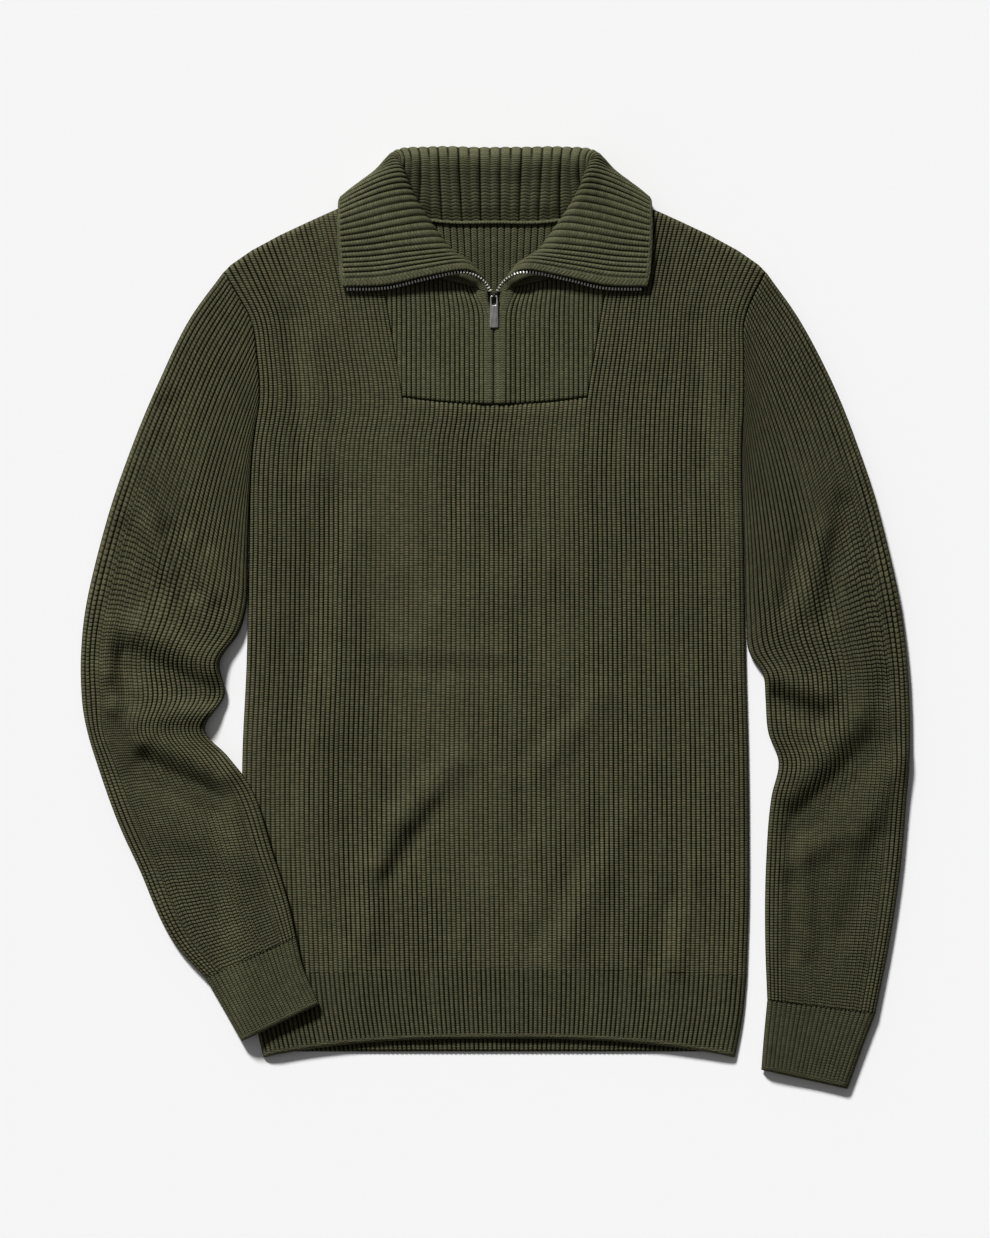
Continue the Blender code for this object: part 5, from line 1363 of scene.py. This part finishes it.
def make_slider():
    """The slider: two shields on a neck, side lips, and the bail that holds the pull tab."""
    low, high = SLIDER_Z
    work = bmesh.new()
    plate(work, SLIDER_OUTLINE, low, low + PLATE_THICK[0])
    plate(work, SLIDER_OUTLINE, high - PLATE_THICK[1], high)
    plate(work, SLIDER_NECK, low + 0.9, high - 1.0)
    plate(work, [(-x, y) for x, y in SLIDER_LIP[::-1]], low + 1.3, high - 1.0)
    plate(work, SLIDER_LIP, low + 1.3, high - 1.0)
    bmesh.ops.bevel(work, geom=list(work.edges), offset=0.22, segments=2, affect="EDGES", profile=0.6)
    angles = math.pi * np.linspace(0, 1, 15)
    arch = np.array([(PIN_Y + 0.45 + 2.7 * math.cos(a), high - 0.35 + 3.9 * math.sin(a) ** 0.7)
                     for a in angles])
    rings = []
    for k, (y, z) in enumerate(arch):
        way = arch[min(k + 1, len(arch) - 1)] - arch[max(k - 1, 0)]
        way = way / np.linalg.norm(way)
        rings.append([(ZIP_X + dx, y + dn * way[1], z - dn * way[0]) for dx, dn in BAIL_SECTION])
    stack(work, rings)
    return object_from(work, "zip_slider_body", SLIDER_METAL)


def make_pull():
    """The pull tab: a tapered brushed plate, slotted round the bail, with softened edges."""
    slot_w, slot_l = PULL_SLOT
    bar = PIN_THICK / 2
    stations = [bar, -bar, -2.2, -slot_l + 0.9, -slot_l, -9.0, -16.0, -(PULL_LENGTH - 0.9), -PULL_LENGTH]
    work = bmesh.new()
    rows = []
    for k, y in enumerate(stations):
        share = min(max(-y / PULL_LENGTH, 0.0), 1.0)
        half = 0.5 * (PULL_WIDTH[0] + share * (PULL_WIDTH[1] - PULL_WIDTH[0]))
        slot = slot_w / 2
        if k in (0, len(stations) - 1):
            half -= 0.6
        if k == 4:
            slot -= 0.5
        rows.append([work.verts.new((dx, y, 0)) for dx in (-half, -slot, 0.0, slot, half)])
    faces = []
    for r in range(len(rows) - 1):
        for c in range(4):
            if r in (1, 2, 3) and c in (1, 2):
                continue
            faces.append(work.faces.new((rows[r][c], rows[r][c + 1], rows[r + 1][c + 1], rows[r + 1][c])))
    grown = bmesh.ops.extrude_face_region(work, geom=faces)
    moved = [v for v in grown["geom"] if isinstance(v, bmesh.types.BMVert)]
    bmesh.ops.translate(work, verts=moved, vec=(0, 0, PULL_THICK))
    bmesh.ops.translate(work, verts=work.verts, vec=(0, 0, -PULL_THICK / 2))
    bmesh.ops.recalc_face_normals(work, faces=work.faces)
    sharp = [e for e in work.edges if e.is_manifold and e.calc_face_angle(0.0) > 0.6]
    bmesh.ops.bevel(work, geom=sharp, offset=0.42, segments=3, affect="EDGES", profile=0.5)
    sine, cosine = math.sin(PULL_TILT), math.cos(PULL_TILT)
    for v in work.verts:
        y, z = v.co.y, v.co.z
        v.co.x += ZIP_X
        v.co.y = PIN_Y + y * cosine - z * sine
        v.co.z = PIN_Z + y * sine + z * cosine
    return object_from(work, "zip_pull_tab", PULL_METAL)


# ---- the whole garment
dress(make_front(), "front")
dress(make_front_hem(), "hem_front")
dress(make_back(), "back")
dress(make_back_hem(), "hem_back")
dress(make_yoke(-1, "yoke_half_left"), "yoke_left")
dress(make_yoke(1, "yoke_half_right"), "yoke_right")
dress(make_tube("sleeve_cloth_left", -1, LEFT_SLEEVE, LEFT_KNIT, LEFT_CREASES),
      "sleeve_left")
dress(make_tube("sleeve_cloth_right", 1, RIGHT_SLEEVE, RIGHT_KNIT, RIGHT_CREASES),
      "sleeve_right")
dress(make_tube("cuff_band_left", -1, LEFT_CUFF, LEFT_CUFF_KNIT),
      "cuff_left")
dress(make_tube("cuff_band_right", 1, RIGHT_CUFF, RIGHT_CUFF_KNIT),
      "cuff_right")
dress(make_collar(), "collar")
dress(make_neck_cord(), None)
for side, word in ((-1, "left"), (1, "right")):
    dress(make_tape(side, "zip_tape_cloth_" + word), "zip_tape_" + word)
    dress(make_teeth(side, "zip_teeth_" + word), None)
    dress(make_zip_roll(side, "collar_edge_strip_" + word), None)
dress(make_slider(), "zip_slider")
dress(make_pull(), "zip_pull", body="pull")


# ---- floor, light and camera
def make_floor():
    """A plain pale table top, just below the cloth."""
    material, tree, shader = new_material("pale matt table")
    join(tree, shader, {"Base Color": linear("#f2f2f2"), "Roughness": 0.9, "Specular IOR Level": 0.1})
    half, z = 6000.0, -0.2
    corners = np.array([(-half, -half, z), (half, -half, z), (half, half, z), (-half, half, z)])
    mesh = new_mesh("table_top", corners, [(0, 1, 2, 3)])
    mesh.materials.append(material)
    link_object("table_top", mesh)


def make_sun(name, azimuth, elevation, strength, spread):
    """A far, soft lamp: the way it shines from as degrees from +X and above the table."""
    lamp = bpy.data.lights.new(name, "SUN")
    lamp.energy = strength
    lamp.angle = math.radians(spread)
    link_object(name, lamp).rotation_euler = (math.radians(90 - elevation), 0, math.radians(azimuth + 90))


make_floor()
make_sun("key", 113, 31.5, 5.3, 9)
world = bpy.data.worlds.new("studio")
world.use_nodes = True
tree = world.node_tree
# a large soft window up on the left: the surroundings are brighter that way
way = add(tree, "TexCoord", out="Generated")
facing = add(tree, "VectorMath", (way, (-0.65, 0.45, 0.0)), "Value", operation="DOT_PRODUCT")
glow = add(tree, "Math", (facing, 0.16, 0.15), operation="MULTIPLY_ADD")
join(tree, tree.nodes["Background"], {"Color": (1.0, 1.0, 1.0, 1.0), "Strength": glow})
scene = bpy.context.scene
scene.world = world
scene.view_settings.view_transform = "Standard"

FRAME_HIGH = 990.4 * MM     # what the frame shows from top to bottom,
FRAME_Z = 8 * MM            # at this height over the table
CAMERA_Z = 5.0
SENSOR = 36.0
camera_data = bpy.data.cameras.new("camera")
camera_data.sensor_fit = "VERTICAL"
camera_data.sensor_height = SENSOR
camera_data.lens = SENSOR * (CAMERA_Z - FRAME_Z) / FRAME_HIGH
camera = link_object("camera", camera_data)
camera.location = (0.0, 0.0, CAMERA_Z)
scene.camera = camera
